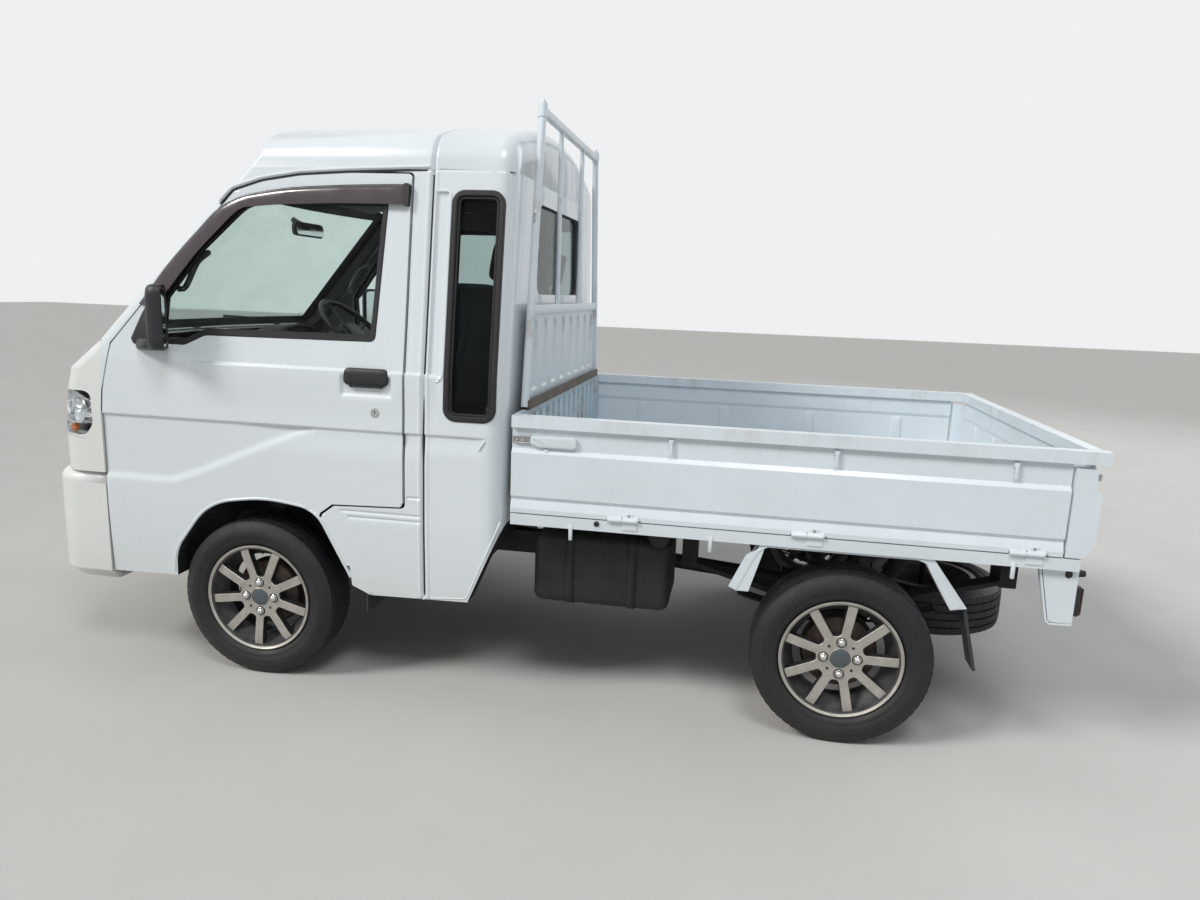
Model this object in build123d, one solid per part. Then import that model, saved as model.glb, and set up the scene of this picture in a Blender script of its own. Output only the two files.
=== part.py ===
from build123d import *
import os
from math import cos, pi, radians, sin

# A kei truck with an extended high-roof cab, in millimetres.
# +X points forward, +Y to the truck's left, +Z up. The origin is on the ground
# under the middle of the truck's length and width.

# Overall size
width = 1475.0
front_overhang = 843.0
wheelbase = 1900.0
rear_overhang = 652.0
length = front_overhang + wheelbase + rear_overhang
half_width = width / 2
front_axle_x = length / 2 - front_overhang
rear_axle_x = front_axle_x - wheelbase
rear_end_x = -length / 2
front_end_x = length / 2

# Wheels and tyres
tyre_diameter = 540.0
tyre_width = 165.0
rim_diameter = 365.0
rim_seat_diameter = 330.0
rim_width = 142.0
axle_z = tyre_diameter / 2
front_half_track = 640.0
rear_half_track = 648.0
spoke_count = 9
lug_count = 4
lug_circle = 100.0
drum_diameter = 230.0
drum_length = 60.0
bearing_gap = 0.3

# Clearances
panel_gap = 5.0
rear_seam_gap = 9.0
jamb_step = 14.0
gate_gap = 6.0
running_gap = 0.3

# Cab outline
cab_rear_x = front_axle_x - 850.0
cab_tuck = 6.5
cab_floor_z = 490.0
seat_floor_z = 655.0
floor_thickness = 15.0
roof_top_z = 1870.0
gutter_z = 1662.0
belt_z = 1050.0
door_thickness = 70.0
pillar_thickness = 38.0
roof_thickness = 46.0
front_bow_radius = 2600.0
cab_corner_radius = 60.0
panel_thickness = 45.0
bulkhead_thickness = 70.0
glass_thickness = 5.0
glass_depth = 2.0
bumper_top_z = 665.0
cowl_z = 1103.0
roof_seam_z = gutter_z + 6
door_sill_z = 630.0
door_hinge_z = (550.0, 830.0)
floor_half = half_width - 89.5

# Load bed
bed_front_x = cab_rear_x - 27.0
bed_floor_z = 655.0
bed_sill_top_z = 644.0
bed_sill_low_z = 609.0
bearer_low_z = 600.0
bed_sill_inner_y = half_width - 97.5
bed_sill_outer_y = half_width - 4
gate_top_z = 949.0
gate_low_z = 648.0
rail_low_z = 913.0
hinge_z = 650.0
gate_depth = 38.0
end_cap_depth = 75.0
end_cap_top_z = 900.0
headboard_thickness = 14.0
guard_foot_z = 950.0
guard_top_z = 1873.0
hinge_radius = 7.0
hinge_length = 90.0
hinge_proud = 1.0
side_hinge_x = (rear_axle_x + 674, rear_axle_x + 130, rear_axle_x - 468)
rear_hinge_y = (-450.0, 0.0, 450.0)
tailgate_x = rear_end_x + hinge_radius + hinge_proud

# Chassis
rail_y = 300.0
rail_width = 45.0
gearbox_rear_x = front_axle_x - 760.0
spare_x = rear_end_x + 287.5
spare_z = 275.0
lamp_x = rear_end_x + 33.0
bracket_outer_y = half_width - 22.5

# Steering and doors
kingpin_y = front_half_track - 110.0
arch_half_length = 345.0
house_inner_y = kingpin_y - 140.0
knuckle_low_z = axle_z - 85.0
knuckle_top_z = axle_z + 110.0
spindle_radius = 28.0
steering_wheel_radius = 185.0
column_tilt = 47.0


def ahead(x):
    """Place along the truck of a distance ahead of the front axle."""
    return front_axle_x + x


def from_rear(x):
    """Place along the truck of a distance ahead of the rear axle."""
    return rear_axle_x + x


def block(x0, x1, y0, y1, z0, z1):
    """Box between two opposite corners."""
    size = Box(abs(x1 - x0), abs(y1 - y0), abs(z1 - z0))
    return Pos((x0 + x1) / 2, (y0 + y1) / 2, (z0 + z1) / 2) * size


def outline(points, radii=0):
    """Closed face from its corner points and corner radii."""
    return make_face(FilletPolyline(*points, radius=radii, close=True))


def side_prism(points, y0, y1, radii=0):
    """Side-view (X, Z) outline, carried across the truck from y0 to y1."""
    face = Plane.XZ.offset(-y1) * outline(points, radii)
    return extrude(face, amount=y1 - y0, dir=(0, -1, 0))


def front_prism(points, x0, x1, radii=0):
    """Front-view (Y, Z) outline, carried along the truck from x0 to x1."""
    face = Plane.YZ.offset(x0) * outline(points, radii)
    return extrude(face, amount=x1 - x0, dir=(1, 0, 0))


def plan_prism(points, z0, z1, radii=0):
    """Plan-view (X, Y) outline, raised from z0 to z1."""
    face = Plane.XY.offset(z0) * outline(points, radii)
    return extrude(face, amount=z1 - z0, dir=(0, 0, 1))


def rod(start, end, radius):
    """Round bar between two points."""
    a = Vector(*start)
    b = Vector(*end)
    plane = Plane(origin=a, z_dir=b - a)
    return extrude(plane * Circle(radius), amount=(b - a).length)


def mirrored(shape):
    """Copy on the other side of the truck."""
    return shape.mirror(Plane.XZ)


def both(shape):
    """The shape and its copy on the other side, as one set."""
    return Compound([*shape.solids(), *mirrored(shape).solids()])


def joined(shapes):
    """One shape from several that touch."""
    total = shapes[0]
    for shape in shapes[1:]:
        total = total + shape
    return total


def gather(shapes):
    """Several separate solids of one node."""
    solids = []
    for shape in shapes:
        solids.extend(shape.solids())
    return Compound(solids)


# Cab section seen from the front: height and half width
cab_sides = [
    (300.0, half_width - 15.5),
    (560.0, half_width - cab_tuck),
    (875.0, half_width - cab_tuck),
    (belt_z, half_width - 15.5),
    (gutter_z, half_width - 97.5),
    (1762.0, half_width - 111.5),
]

# Cab centre line seen from the side: place ahead of the axle, height, corner radius
cab_centre_line = [
    (795.0, 300.0, 0.0),
    (795.0, 875.0, 300.0),
    (762.0, 1012.0, 70.0),
    (656.0, cowl_z, 0.0),
    (25.0, 1806.0, 200.0),
    (-430.0, roof_top_z, 900.0),
]


def cab_section(low_inset, high_inset):
    """Front-view face of the cab, drawn in by a wall below and above the belt."""
    right = [(w - (low_inset if z < belt_z else high_inset), z) for z, w in cab_sides]
    top_w, top_z = right[-1]
    top_z = top_z - high_inset
    right[-1] = (top_w, top_z)
    left = [(-w, z) for w, z in reversed(right)]
    right_side = Polyline(*right)
    left_side = Polyline(*left)
    crown = ThreePointArc(right[-1], (0, roof_top_z - high_inset), left[0])
    base = Line(left[-1], right[0])
    edges = [*right_side.edges(), *crown.edges(), *left_side.edges(), *base.edges()]
    face = make_face(edges)
    corners = [v for v in face.vertices() if abs(v.Y - top_z) < 1]
    return fillet(corners, 110.0 - high_inset)


def cab_form(low_inset=0.0, high_inset=0.0, front_inset=0.0, rear_inset=0.0, base_z=300.0):
    """Whole cab volume: the front section carried along, cut to the bowed nose."""
    rear = cab_rear_x + rear_inset
    section = Plane.YZ.offset(rear) * cab_section(low_inset, high_inset)
    prism = extrude(section, amount=front_end_x - rear, dir=(1, 0, 0))
    bow_x = ahead(795.0) - front_bow_radius
    line = [(ahead(x) - front_inset, z) for x, z, _ in cab_centre_line]
    last_x, last_z = line[-1]
    line[0] = (line[0][0], base_z)
    line[-2] = (line[-2][0], line[-2][1] - high_inset + front_inset)
    line[-1] = (last_x, last_z - high_inset)
    radii = [r for _, _, r in cab_centre_line]
    points = [*line, (bow_x, last_z - high_inset), (bow_x, base_z)]
    profile = Plane.XZ * outline(points, [*radii, 0, 0])
    return prism & revolve(profile, axis=Axis((bow_x, 0, 0), (0, 0, 1)))


# Rounding of the cab's front corners: height, radius
corner_radii = [(250.0, 120.0), (875.0, 90.0), (cowl_z, 75.0), (gutter_z, 60.0), (1900.0, 60.0)]
corner_overlap = 0.15


def read_off(table, z):
    """Value at a height in a table of height and value, past its ends too."""
    pairs = list(zip(table, table[1:]))
    for (z0, v0), (z1, v1) in pairs:
        if z <= z1 or z1 == table[-1][0]:
            return v0 + (v1 - v0) * (z - z0) / (z1 - z0)


def corner_section(z):
    """Plan outline at a height whose front corners are arcs."""
    nose = [(height, ahead(x)) for x, height, _ in cab_centre_line[:5]]
    w = read_off(cab_sides, z)
    r = read_off(corner_radii, z)
    bow_x = ahead(795.0) - front_bow_radius
    bow = read_off(nose, z) - bow_x
    centre = Vector(bow_x + ((bow - r) ** 2 - (w - r) ** 2) ** 0.5, w - r)
    outward = (centre - Vector(bow_x, 0)).normalized()
    reach = r + corner_overlap
    side_end = centre + Vector(0, reach)
    middle = centre + (outward + Vector(0, 1)).normalized() * reach
    front_end = centre + outward * reach
    along = Vector(outward.Y, -outward.X)
    tip = front_end + along * (front_end.Y / -along.Y)
    rear = Vector(cab_rear_x - 400, w + 30)
    points = [rear, side_end, middle, front_end]
    other = [Vector(p.X, -p.Y) for p in points]
    lines = [
        Line(rear, side_end),
        ThreePointArc(side_end, middle, front_end),
        Line(front_end, tip),
        Line(tip, other[3]),
        ThreePointArc(other[3], other[2], other[1]),
        Line(other[1], other[0]),
        Line(other[0], rear),
    ]
    return Plane.XY.offset(z) * make_face([line.edge() for line in lines])


def rounded_cab():
    """Outer cab volume with its upright corners rounded."""
    form = cab_form()
    rear = []
    for edge in form.edges():
        box = edge.bounding_box()
        if box.size.Z > 1 and box.max.X < cab_rear_x + 1:
            rear.append(edge)
    form = fillet(rear, cab_corner_radius)
    levels = [250, 560, 875, 1012, belt_z, cowl_z, gutter_z, 1762, 1900]
    return form & loft([corner_section(z) for z in levels], ruled=True)


# Door edge seen from the side: place ahead of the axle, height
door_edge = [
    (524.0, 324.0),
    (524.0, 862.0),
    (519.0, 950.0),
    (486.0, 1100.0),
    (64.0, 1596.0),
    (-40.0, 1640.0),
    (-170.0, 1655.0),
    (-524.0, 1655.0),
    (-524.0, 632.0),
    (-286.0, 623.0),
    (-245.0, 592.0),
    (-200.0, 500.0),
    (240.0, 330.0),
]
door_radii = [0, 0, 0, 0, 60, 120, 300, 12, 12, 0, 0, 0, 0]

# Front wheel arch seen from the side, the same way
arch_edge = [
    (292.0, 150.0),
    (280.0, 420.0),
    (150.0, 592.0),
    (-50.0, 622.0),
    (-225.0, 598.0),
    (-338.0, 380.0),
    (-372.0, 150.0),
]
arch_radii = [0, 150, 200, 500, 110, 0, 0]

# Door window seen from the side, the same way
door_window = [
    (318.0, 1116.0),
    (222.0, 1114.0),
    (150.0, 1148.0),
    (-422.0, 1153.0),
    (-447.0, 1577.0),
    (22.0, 1577.0),
    (190.0, 1418.0),
    (308.0, 1262.0),
]
door_window_radii = [8, 30, 60, 12, 22, 150, 300, 20]

# Quarter window behind the door, the same way
quarter_window = [(-666.0, 926.0), (-812.0, 926.0), (-812.0, 1600.0), (-666.0, 1600.0)]
quarter_window_radius = 30.0


def place_side(points):
    """Side-view points moved from the axle to the truck's own frame."""
    return [(ahead(x), z) for x, z in points]


def grown(points, radii, amount):
    """Side-view outline face, grown by a gap on every side."""
    face = outline(place_side(points), radii)
    return offset(face, amount=amount, kind=Kind.INTERSECTION) if amount else face


def side_cutter(points, radii, amount=0.0):
    """Full-width prism of a side-view outline, grown by a gap."""
    face = Plane.XZ.offset(-width) * grown(points, radii, amount)
    return extrude(face, amount=2 * width, dir=(0, -1, 0))


form_outer = rounded_cab()
form_panel = cab_form(panel_thickness, panel_thickness, panel_thickness)
form_inner = cab_form(
    door_thickness, pillar_thickness, bulkhead_thickness, pillar_thickness, base_z=280.0
)
arch_cut = side_cutter(arch_edge, arch_radii)
seam_cut = side_cutter(door_edge, door_radii, panel_gap)
seam_cut = seam_cut + Pos(panel_gap - rear_seam_gap, 0, 0) * seam_cut
jamb_cut = (Pos(panel_gap - jamb_step, 0, 0) * seam_cut) & cab_form(jamb_step, jamb_step)
door_cut = seam_cut + jamb_cut + arch_cut
shell = form_outer - form_inner

# Rear window seen from the front: across, height
rear_window = [(-361, 1307), (361, 1307), (336, 1605), (-336, 1605)]

# Windscreen opening seen from the front: half width, height
screen_base_z = cowl_z + 12
screen_top_z = gutter_z - 7
screen_base_y = half_width - 101.5
screen_top_y = half_width - 177.5
screen_corners = [
    (-screen_base_y, screen_base_z),
    (screen_base_y, screen_base_z),
    (screen_top_y, screen_top_z),
    (-screen_top_y, screen_top_z),
]
screen_prism = front_prism(screen_corners, ahead(-60), front_end_x, 50)

nose_x = ahead(524.0) + panel_gap
nose_zone = block(nose_x, front_end_x + 50, -width, width, 0, cowl_z)
lamp_inner_y = half_width - 342.5
lamp_zone = block(ahead(548), front_end_x, lamp_inner_y, width, 776, 950)


wheel_centre = Vector(ahead(150), -345, 1120)
column_length = 420.0
column_radius = 32.0


def column_direction():
    """Unit vector up along the steering column."""
    return Vector(-cos(radians(column_tilt)), 0, sin(radians(column_tilt)))


def make_cab_body():
    """Floor, pillars, rear wall, sills and front bulkhead."""
    side = [
        (cab_rear_x - 10, 618),
        (cab_rear_x + 112, 335),
        (ahead(-409), 327),
        (ahead(-347), 355),
        (ahead(-340), 420),
        (front_end_x, 420),
        (front_end_x, roof_seam_z),
        (cab_rear_x - 10, roof_seam_z),
    ]
    walls = shell & side_prism(side, -width, width)
    walls = walls - ((form_outer - form_panel) & nose_zone)
    walls = walls - door_cut
    walls = walls - screen_prism
    walls = walls - side_cutter(quarter_window, quarter_window_radius)
    walls = walls - front_prism(rear_window, cab_rear_x - 50, cab_rear_x + 100, 45)
    house_rear = front_axle_x - arch_half_length
    house_front = front_axle_x + arch_half_length
    t = floor_thickness
    low_z = cab_floor_z - t
    front_floor = block(house_front, ahead(720.0), -floor_half, floor_half, low_z, cab_floor_z)
    upper_floor = block(
        cab_rear_x + 20, house_front + t, -floor_half, floor_half, seat_floor_z - t, seat_floor_z
    )
    riser = block(house_front, house_front + t, -floor_half, floor_half, low_z, seat_floor_z)
    liner = [
        (house_inner_y - t, seat_floor_z),
        (floor_half, seat_floor_z),
        (floor_half, door_sill_z - 12),
        (floor_half + 50, door_sill_z - 12),
        (floor_half + 50, 360),
        (house_inner_y - t, 360),
    ]
    liner = front_prism(liner, house_rear - t, house_rear)
    inner_wall = block(
        house_rear - t, house_front + t, house_inner_y - t, house_inner_y, low_z, seat_floor_z
    )
    parts = [walls, front_floor & form_inner, riser, upper_floor]
    for z in door_hinge_z:
        face_x = nose_x - panel_gap + running_gap
        hinge = block(face_x, nose_x + 8, floor_half + 15, floor_half + 36, z - 30, z + 30)
        parts.extend([hinge, mirrored(hinge)])
    parts.extend([liner, mirrored(liner), inner_wall, mirrored(inner_wall)])
    return joined(parts)


def skin(outer_inset, inner_inset):
    """Thin layer of the cab's outer surface between two depths."""
    outer = cab_form(outer_inset, outer_inset, outer_inset, outer_inset)
    inner = cab_form(inner_inset, inner_inset, inner_inset, inner_inset)
    return outer - inner


def make_roof():
    """High roof above the gutter."""
    over = block(cab_rear_x - 50, front_end_x, -width, width, roof_seam_z, 2000)
    hollow = form_inner & (Pos(0, 0, -roof_thickness) * form_outer)
    roof = (form_outer - hollow) & over
    return roof - screen_prism


def make_front_panel():
    """Nose panel between the bumper and the windscreen."""
    zone = block(nose_x, front_end_x + 50, -width, width, bumper_top_z + 3, cowl_z)
    panel = (form_outer - form_panel) & zone
    panel = panel - lamp_zone
    return panel - mirrored(lamp_zone)


def make_headlamps():
    """Wrap-round lamps in the corners of the nose panel."""
    lamp = (form_outer - form_panel) & lamp_zone
    return both(lamp)


# Air intake in the bumper seen from the front: across, height
intake = [(-330, 420), (330, 420), (350, 500), (-350, 500)]
intake_radius = 22.0
bumper_base_z = 287.0
bumper_corner_radius = 130.0
bumper_top_radius = 36.0
bumper_tuck = 34.0


def make_bumper():
    """Bumper with a bowed front, an air intake, rounded top and tucked lower edge."""
    corner_y = half_width - cab_tuck
    bow = front_bow_radius - (front_bow_radius**2 - corner_y**2) ** 0.5
    corner_x = front_end_x - bow
    right = Line((nose_x, -corner_y), (corner_x, -corner_y))
    front = ThreePointArc((corner_x, -corner_y), (front_end_x, 0), (corner_x, corner_y))
    left = Line((corner_x, corner_y), (nose_x, corner_y))
    rear = Line((nose_x, corner_y), (nose_x, -corner_y))
    plan = make_face([*right.edges(), *front.edges(), *left.edges(), *rear.edges()])
    corners = [v for v in plan.vertices() if v.X > nose_x + 10]
    plan = fillet(corners, bumper_corner_radius)
    height = bumper_top_z - bumper_base_z
    solid = extrude(Plane.XY.offset(bumper_base_z) * plan, amount=height)
    top = [e for e in solid.edges().group_by(Axis.Z)[-1] if e.bounding_box().max.X > nose_x + 5]
    solid = fillet(top, bumper_top_radius)
    low = [e for e in solid.edges().group_by(Axis.Z)[0] if e.bounding_box().max.X > nose_x + 5]
    solid = chamfer(low, bumper_tuck)
    inner = cab_form(panel_thickness, panel_thickness, panel_thickness, base_z=200.0)
    slot = front_prism(intake, nose_x, front_end_x + 50, intake_radius)
    return solid - inner - slot


def make_windscreen():
    """Laminated glass in the nose opening."""
    return skin(glass_depth, glass_depth + glass_thickness) & screen_prism


def make_cab_glass():
    """Quarter windows and rear window."""
    quarter = skin(20.0, 20.0 + glass_thickness) & side_cutter(quarter_window, quarter_window_radius)
    rear_x = cab_rear_x + 15
    rear = front_prism(rear_window, rear_x, rear_x + glass_thickness, 45)
    sides = [s for s in quarter.solids() if abs(s.center().Y) > 400]
    return gather([*sides, rear])


def make_door(sign):
    """Door with its window opening, one thickness of outer and inner panel."""
    door = shell & side_cutter(door_edge, door_radii)
    door = door - arch_cut
    door = door - side_cutter(door_window, door_window_radii)
    keep = [s for s in door.solids() if s.center().Y * sign > 0]
    return Compound(keep)


def make_door_glass(sign):
    """Door glass in the door's window opening."""
    glass = skin(22.0, 22.0 + glass_thickness) & side_cutter(door_window, door_window_radii)
    keep = [s for s in glass.solids() if s.center().Y * sign > 300]
    return Compound(keep)


# Door mirror: middle of the housing, its width, depth and heights, and its turn to the driver
mirror_x = ahead(265)
mirror_y = half_width + 45.5
mirror_width = 124.0
mirror_depth = 50.0
mirror_z = (1093.0, 1298.0)
mirror_turn = 30.0
# Mirror foot in plan, from the door's skin out to the housing
mirror_foot = [
    (ahead(400), half_width - 57.5),
    (ahead(330), half_width - 57.5),
    (ahead(262), half_width + 22.5),
    (ahead(300), half_width + 37.5),
    (ahead(330), half_width + 7.5),
]
mirror_foot_z = (1084.0, 1116.0)


def make_mirror(sign):
    """Door mirror: rounded housing turned to the driver, on its foot."""
    low_z, high_z = mirror_z
    half = mirror_width / 2
    rear = -mirror_depth / 2
    face = [(-half, low_z), (half, low_z), (half, high_z), (-half, high_z)]
    housing = front_prism(face, rear, -rear, 24)
    plan = [(rear, -half), (rear, half), (0, half), (-rear, half / 2), (-rear, -half / 2), (0, -half)]
    housing = housing & plan_prism(plan, low_z, high_z, [3, 3, 20, 20, 20, 20])
    housing = Pos(mirror_x, mirror_y, 0) * Rot(0, 0, mirror_turn) * housing
    foot = plan_prism(mirror_foot, *mirror_foot_z) - form_outer
    mirror = housing + foot
    return mirror if sign > 0 else mirrored(mirror)


def make_barrel():
    """Rim barrel with its bead seats and drop centre, turned about the Y axis."""
    half = rim_width / 2
    outer_r = rim_diameter / 2
    seat_r = rim_seat_diameter / 2
    well_r = seat_r - 26
    wall = 7.0
    points = [
        (outer_r, half),
        (outer_r, half - 8),
        (seat_r + 4, half - 8),
        (seat_r, half - 26),
        (well_r, half - 52),
        (well_r, half - 84),
        (seat_r, 26 - half),
        (seat_r + 4, 8 - half),
        (outer_r, 8 - half),
        (outer_r, -half),
        (seat_r - wall, -half),
        (seat_r - wall, 30 - half),
        (well_r - wall, half - 88),
        (well_r - wall, half - 48),
        (seat_r - wall, half - 22),
        (seat_r - 1, half),
    ]
    return revolve(Plane.XY * outline(points), axis=Axis.Y)


# Wheel face: distances out from the wheel's middle plane, radii and lengths
wheel_face = rim_width / 2 - 10
hub_radius = 72.0
hub_depth = 28.0
drum_inner_face = wheel_face - hub_depth - drum_length
spoke_half_widths = (14.0, 11.0)
spoke_depth = 20.0
spoke_start = 12.0
pocket_radius = 16.0
pocket_depth = 10.0
nut_radius = 10.0
nut_length = 20.0
cap_radius = 30.0
cap_length = 8.0


def make_wheel_rim(sign):
    """Rim with spokes, lug nuts and brake drum, about the Y axis at the origin."""
    seat_r = rim_seat_diameter / 2
    barrel = make_barrel()
    hub = Pos(0, wheel_face - hub_depth / 2, 0) * Rot(90, 0, 0) * Cylinder(hub_radius, hub_depth)
    spokes = []
    root, tip = spoke_half_widths
    for index in range(spoke_count):
        angle = 360.0 / spoke_count * index + spoke_start
        plan = [(55, -root), (seat_r - 2, -tip), (seat_r - 2, tip), (55, root)]
        spoke = plan_prism(plan, -spoke_depth, 0)
        spokes.append(Rot(0, angle, 0) * Pos(0, wheel_face, 0) * Rot(-90, 0, 0) * spoke)
    rim = joined([barrel, hub, *spokes])
    pockets = []
    nuts = []
    for index in range(lug_count):
        angle = 2 * pi * index / lug_count
        x = lug_circle / 2 * cos(angle)
        z = lug_circle / 2 * sin(angle)
        pocket = Cylinder(pocket_radius, 2 * pocket_depth)
        pockets.append(Pos(x, wheel_face, z) * Rot(90, 0, 0) * pocket)
        nut = Cylinder(nut_radius, nut_length)
        nuts.append(Pos(x, wheel_face - 4, z) * Rot(90, 0, 0) * nut)
    rim = rim - gather(pockets)
    cap = Pos(0, wheel_face + 2, 0) * Rot(90, 0, 0) * Cylinder(cap_radius, cap_length)
    drum_y = drum_inner_face + drum_length / 2
    drum = Pos(0, drum_y, 0) * Rot(90, 0, 0) * Cylinder(drum_diameter / 2, drum_length)
    rim = joined([rim, *nuts, cap, drum])
    return rim if sign > 0 else mirrored(rim)


def make_tyre():
    """Tyre section turned about the Y axis at the origin."""
    half = tyre_width / 2
    r = tyre_diameter / 2
    bead = rim_seat_diameter / 2 + running_gap
    points = [
        (r, 0),
        (r - 1, 45),
        (r - 7, half - 16),
        (r - 30, half - 5),
        (r - 52, half),
        (rim_diameter / 2 + 8, half - 9),
        (rim_diameter / 2 + running_gap, rim_width / 2 - 4),
        (rim_diameter / 2 + running_gap, rim_width / 2 - 8 - running_gap),
        (bead + 4.1, rim_width / 2 - 8 - running_gap),
        (bead + 0.1, rim_width / 2 - 26),
        (bead + 14, rim_width / 2 - 34),
        (r - 24, half - 26),
        (r - 14, 0),
    ]
    lower = [(x, -y) for x, y in reversed(points[1:-1])]
    face = outline([*points, *lower])
    return revolve(Plane.XY * face, axis=Axis.Y)


def at_wheel(shape, x, y):
    """Shape moved from the origin to a wheel centre."""
    return Pos(x, y, axle_z) * shape


def make_knuckle(sign):
    """Steering knuckle with its spindle, caliper bracket and strut foot."""
    hub_y = front_half_track + drum_inner_face
    plate_y = kingpin_y
    r = spindle_radius
    upright = block(-r, r, plate_y - 25, plate_y + 20, knuckle_low_z, knuckle_top_z)
    spindle = Pos(0, (plate_y + hub_y) / 2, axle_z) * Rot(90, 0, 0)
    spindle = spindle * Cylinder(r, hub_y - plate_y - 2 * bearing_gap)
    arm = block(-130, -20, plate_y - 22, plate_y - 2, axle_z - 12, axle_z + 8)
    knuckle = Pos(front_axle_x, 0, 0) * joined([upright, spindle, arm])
    return knuckle if sign > 0 else mirrored(knuckle)


def make_front_suspension():
    """Crossmember, lower arms and struts."""
    outer_y = rail_y + rail_width
    cross = block(ahead(-45), ahead(45), -outer_y, outer_y, 250, 320)
    mount = block(ahead(-60), ahead(60), rail_y - 38, outer_y, 320, 395)
    arm_z = knuckle_low_z - running_gap
    arm = [
        (ahead(-20), kingpin_y + 5),
        (ahead(20), kingpin_y + 5),
        (ahead(90), outer_y),
        (ahead(-90), outer_y),
    ]
    arm = plan_prism(arm, arm_z - 18, arm_z)
    post = block(ahead(-60), ahead(60), rail_y, outer_y + 5, arm_z - 18, 250)
    strut_z = knuckle_top_z + running_gap
    top_z = seat_floor_z - floor_thickness
    strut = Pos(front_axle_x, kingpin_y, (strut_z + top_z) / 2) * Cylinder(20, top_z - strut_z)
    coil = Pos(front_axle_x, kingpin_y, top_z - 44) * Cylinder(52, 88)
    left = joined([mount, post, arm])
    right = mirrored(left)
    return gather([joined([cross, left, right]), both(strut + coil)])


# Frame rail seen from the side, and its cross members: place, lowest and highest height
frame_rear_x = rear_end_x + 40
frame_rail = [
    (frame_rear_x, 520),
    (from_rear(620), 520),
    (from_rear(920), 395),
    (ahead(620), 395),
    (ahead(620), 475),
    (from_rear(940), 475),
    (from_rear(660), 600),
    (frame_rear_x, 600),
]
frame_rail_radii = [0, 80, 80, 0, 0, 80, 80, 0]
member_half = 25.0
cross_members = [
    (frame_rear_x + member_half, 520, 600),
    (spare_x, 530, 590),
    (from_rear(340), 530, 590),
    (cab_rear_x - 50, 405, 465),
    (ahead(590), 405, 465),
]
# Spare wheel carrier: its rod and plate
carrier_rod_radius = 12.0
carrier_plate_radius = 45.0
carrier_plate_thickness = 6.0
spare_disc_depth = 20.0


def make_frame():
    """Two long rails with a kick-up behind the cab, cross members and the spare carrier."""
    rails = both(side_prism(frame_rail, rail_y, rail_y + rail_width, frame_rail_radii))
    solids = [rails]
    for x, low, high in cross_members:
        member = block(x - member_half, x + member_half, -rail_y, rail_y, low, high)
        if x == spare_x:
            plate_z = spare_z - spare_disc_depth - running_gap
            plate_low_z = plate_z - carrier_plate_thickness
            member = member + rod((x, 0, plate_z), (x, 0, low), carrier_rod_radius)
            member = member + rod((x, 0, plate_low_z), (x, 0, plate_z), carrier_plate_radius)
        solids.append(member)
    return gather(solids)


# Rear axle and propeller shaft
axle_tube_radius = 34.0
differential_radius = 85.0
pinion_radius = 48.0
pinion_length = 100.0
shaft_radius = 28.0
shaft_front_z = 350.0
shaft_gap = 8.0
drum_gap = 0.5


def make_rear_axle():
    """Live axle with differential, spring pads and the propeller shaft."""
    reach = rear_half_track + drum_inner_face - drum_gap
    tube = Cylinder(axle_tube_radius, 2 * reach)
    tube = Pos(rear_axle_x, 0, axle_z) * Rot(90, 0, 0) * tube
    differential = Pos(rear_axle_x, 0, axle_z) * Sphere(differential_radius)
    nose = Cylinder(pinion_radius, pinion_length)
    nose = Pos(from_rear(pinion_length), 0, axle_z) * Rot(0, 90, 0) * nose
    start = (from_rear(1.45 * pinion_length), 0, axle_z)
    shaft = rod(start, (gearbox_rear_x - shaft_gap, 0, shaft_front_z), shaft_radius)
    return joined([tube, differential, nose, shaft])


# Leaf spring seen from the side: place ahead of the rear axle, height, corner radius
spring_leaf = [
    (-520, 470, 0),
    (0, axle_z + 36, 900),
    (480, 440, 0),
    (480, 452, 0),
    (0, axle_z + 62, 900),
    (-520, 484, 0),
]
spring_gap = 50.0
spring_width = 60.0
spring_clamp_half = 55.0
spring_clamp_z = (axle_z + 20, axle_z + 110)
# Spring hangers on the rail: rear end, front end, foot; their common top
front_hanger = (455.0, 505.0, 430.0)
rear_hanger = (-545.0, -495.0, 455.0)
hanger_top_z = 560.0


def make_rear_springs():
    """Leaf springs under the rails, with shackles and clamps."""
    rail_face = rail_y + rail_width
    y0 = rail_face + spring_gap
    y1 = y0 + spring_width
    points = [(from_rear(x), z) for x, z, _ in spring_leaf]
    parts = [side_prism(points, y0, y1, [r for _, _, r in spring_leaf])]
    d = spring_clamp_half
    parts.append(block(from_rear(-d), from_rear(d), y0 - 8, y1 + 8, *spring_clamp_z))
    for rear, front, foot in (front_hanger, rear_hanger):
        parts.append(block(from_rear(rear), from_rear(front), rail_face, y1, foot, hanger_top_z))
    start = (rear_axle_x, y0 - 20, axle_z)
    axle = rod(start, (rear_axle_x, y1 + 20, axle_z), axle_tube_radius)
    return both(joined(parts) - axle)


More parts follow.
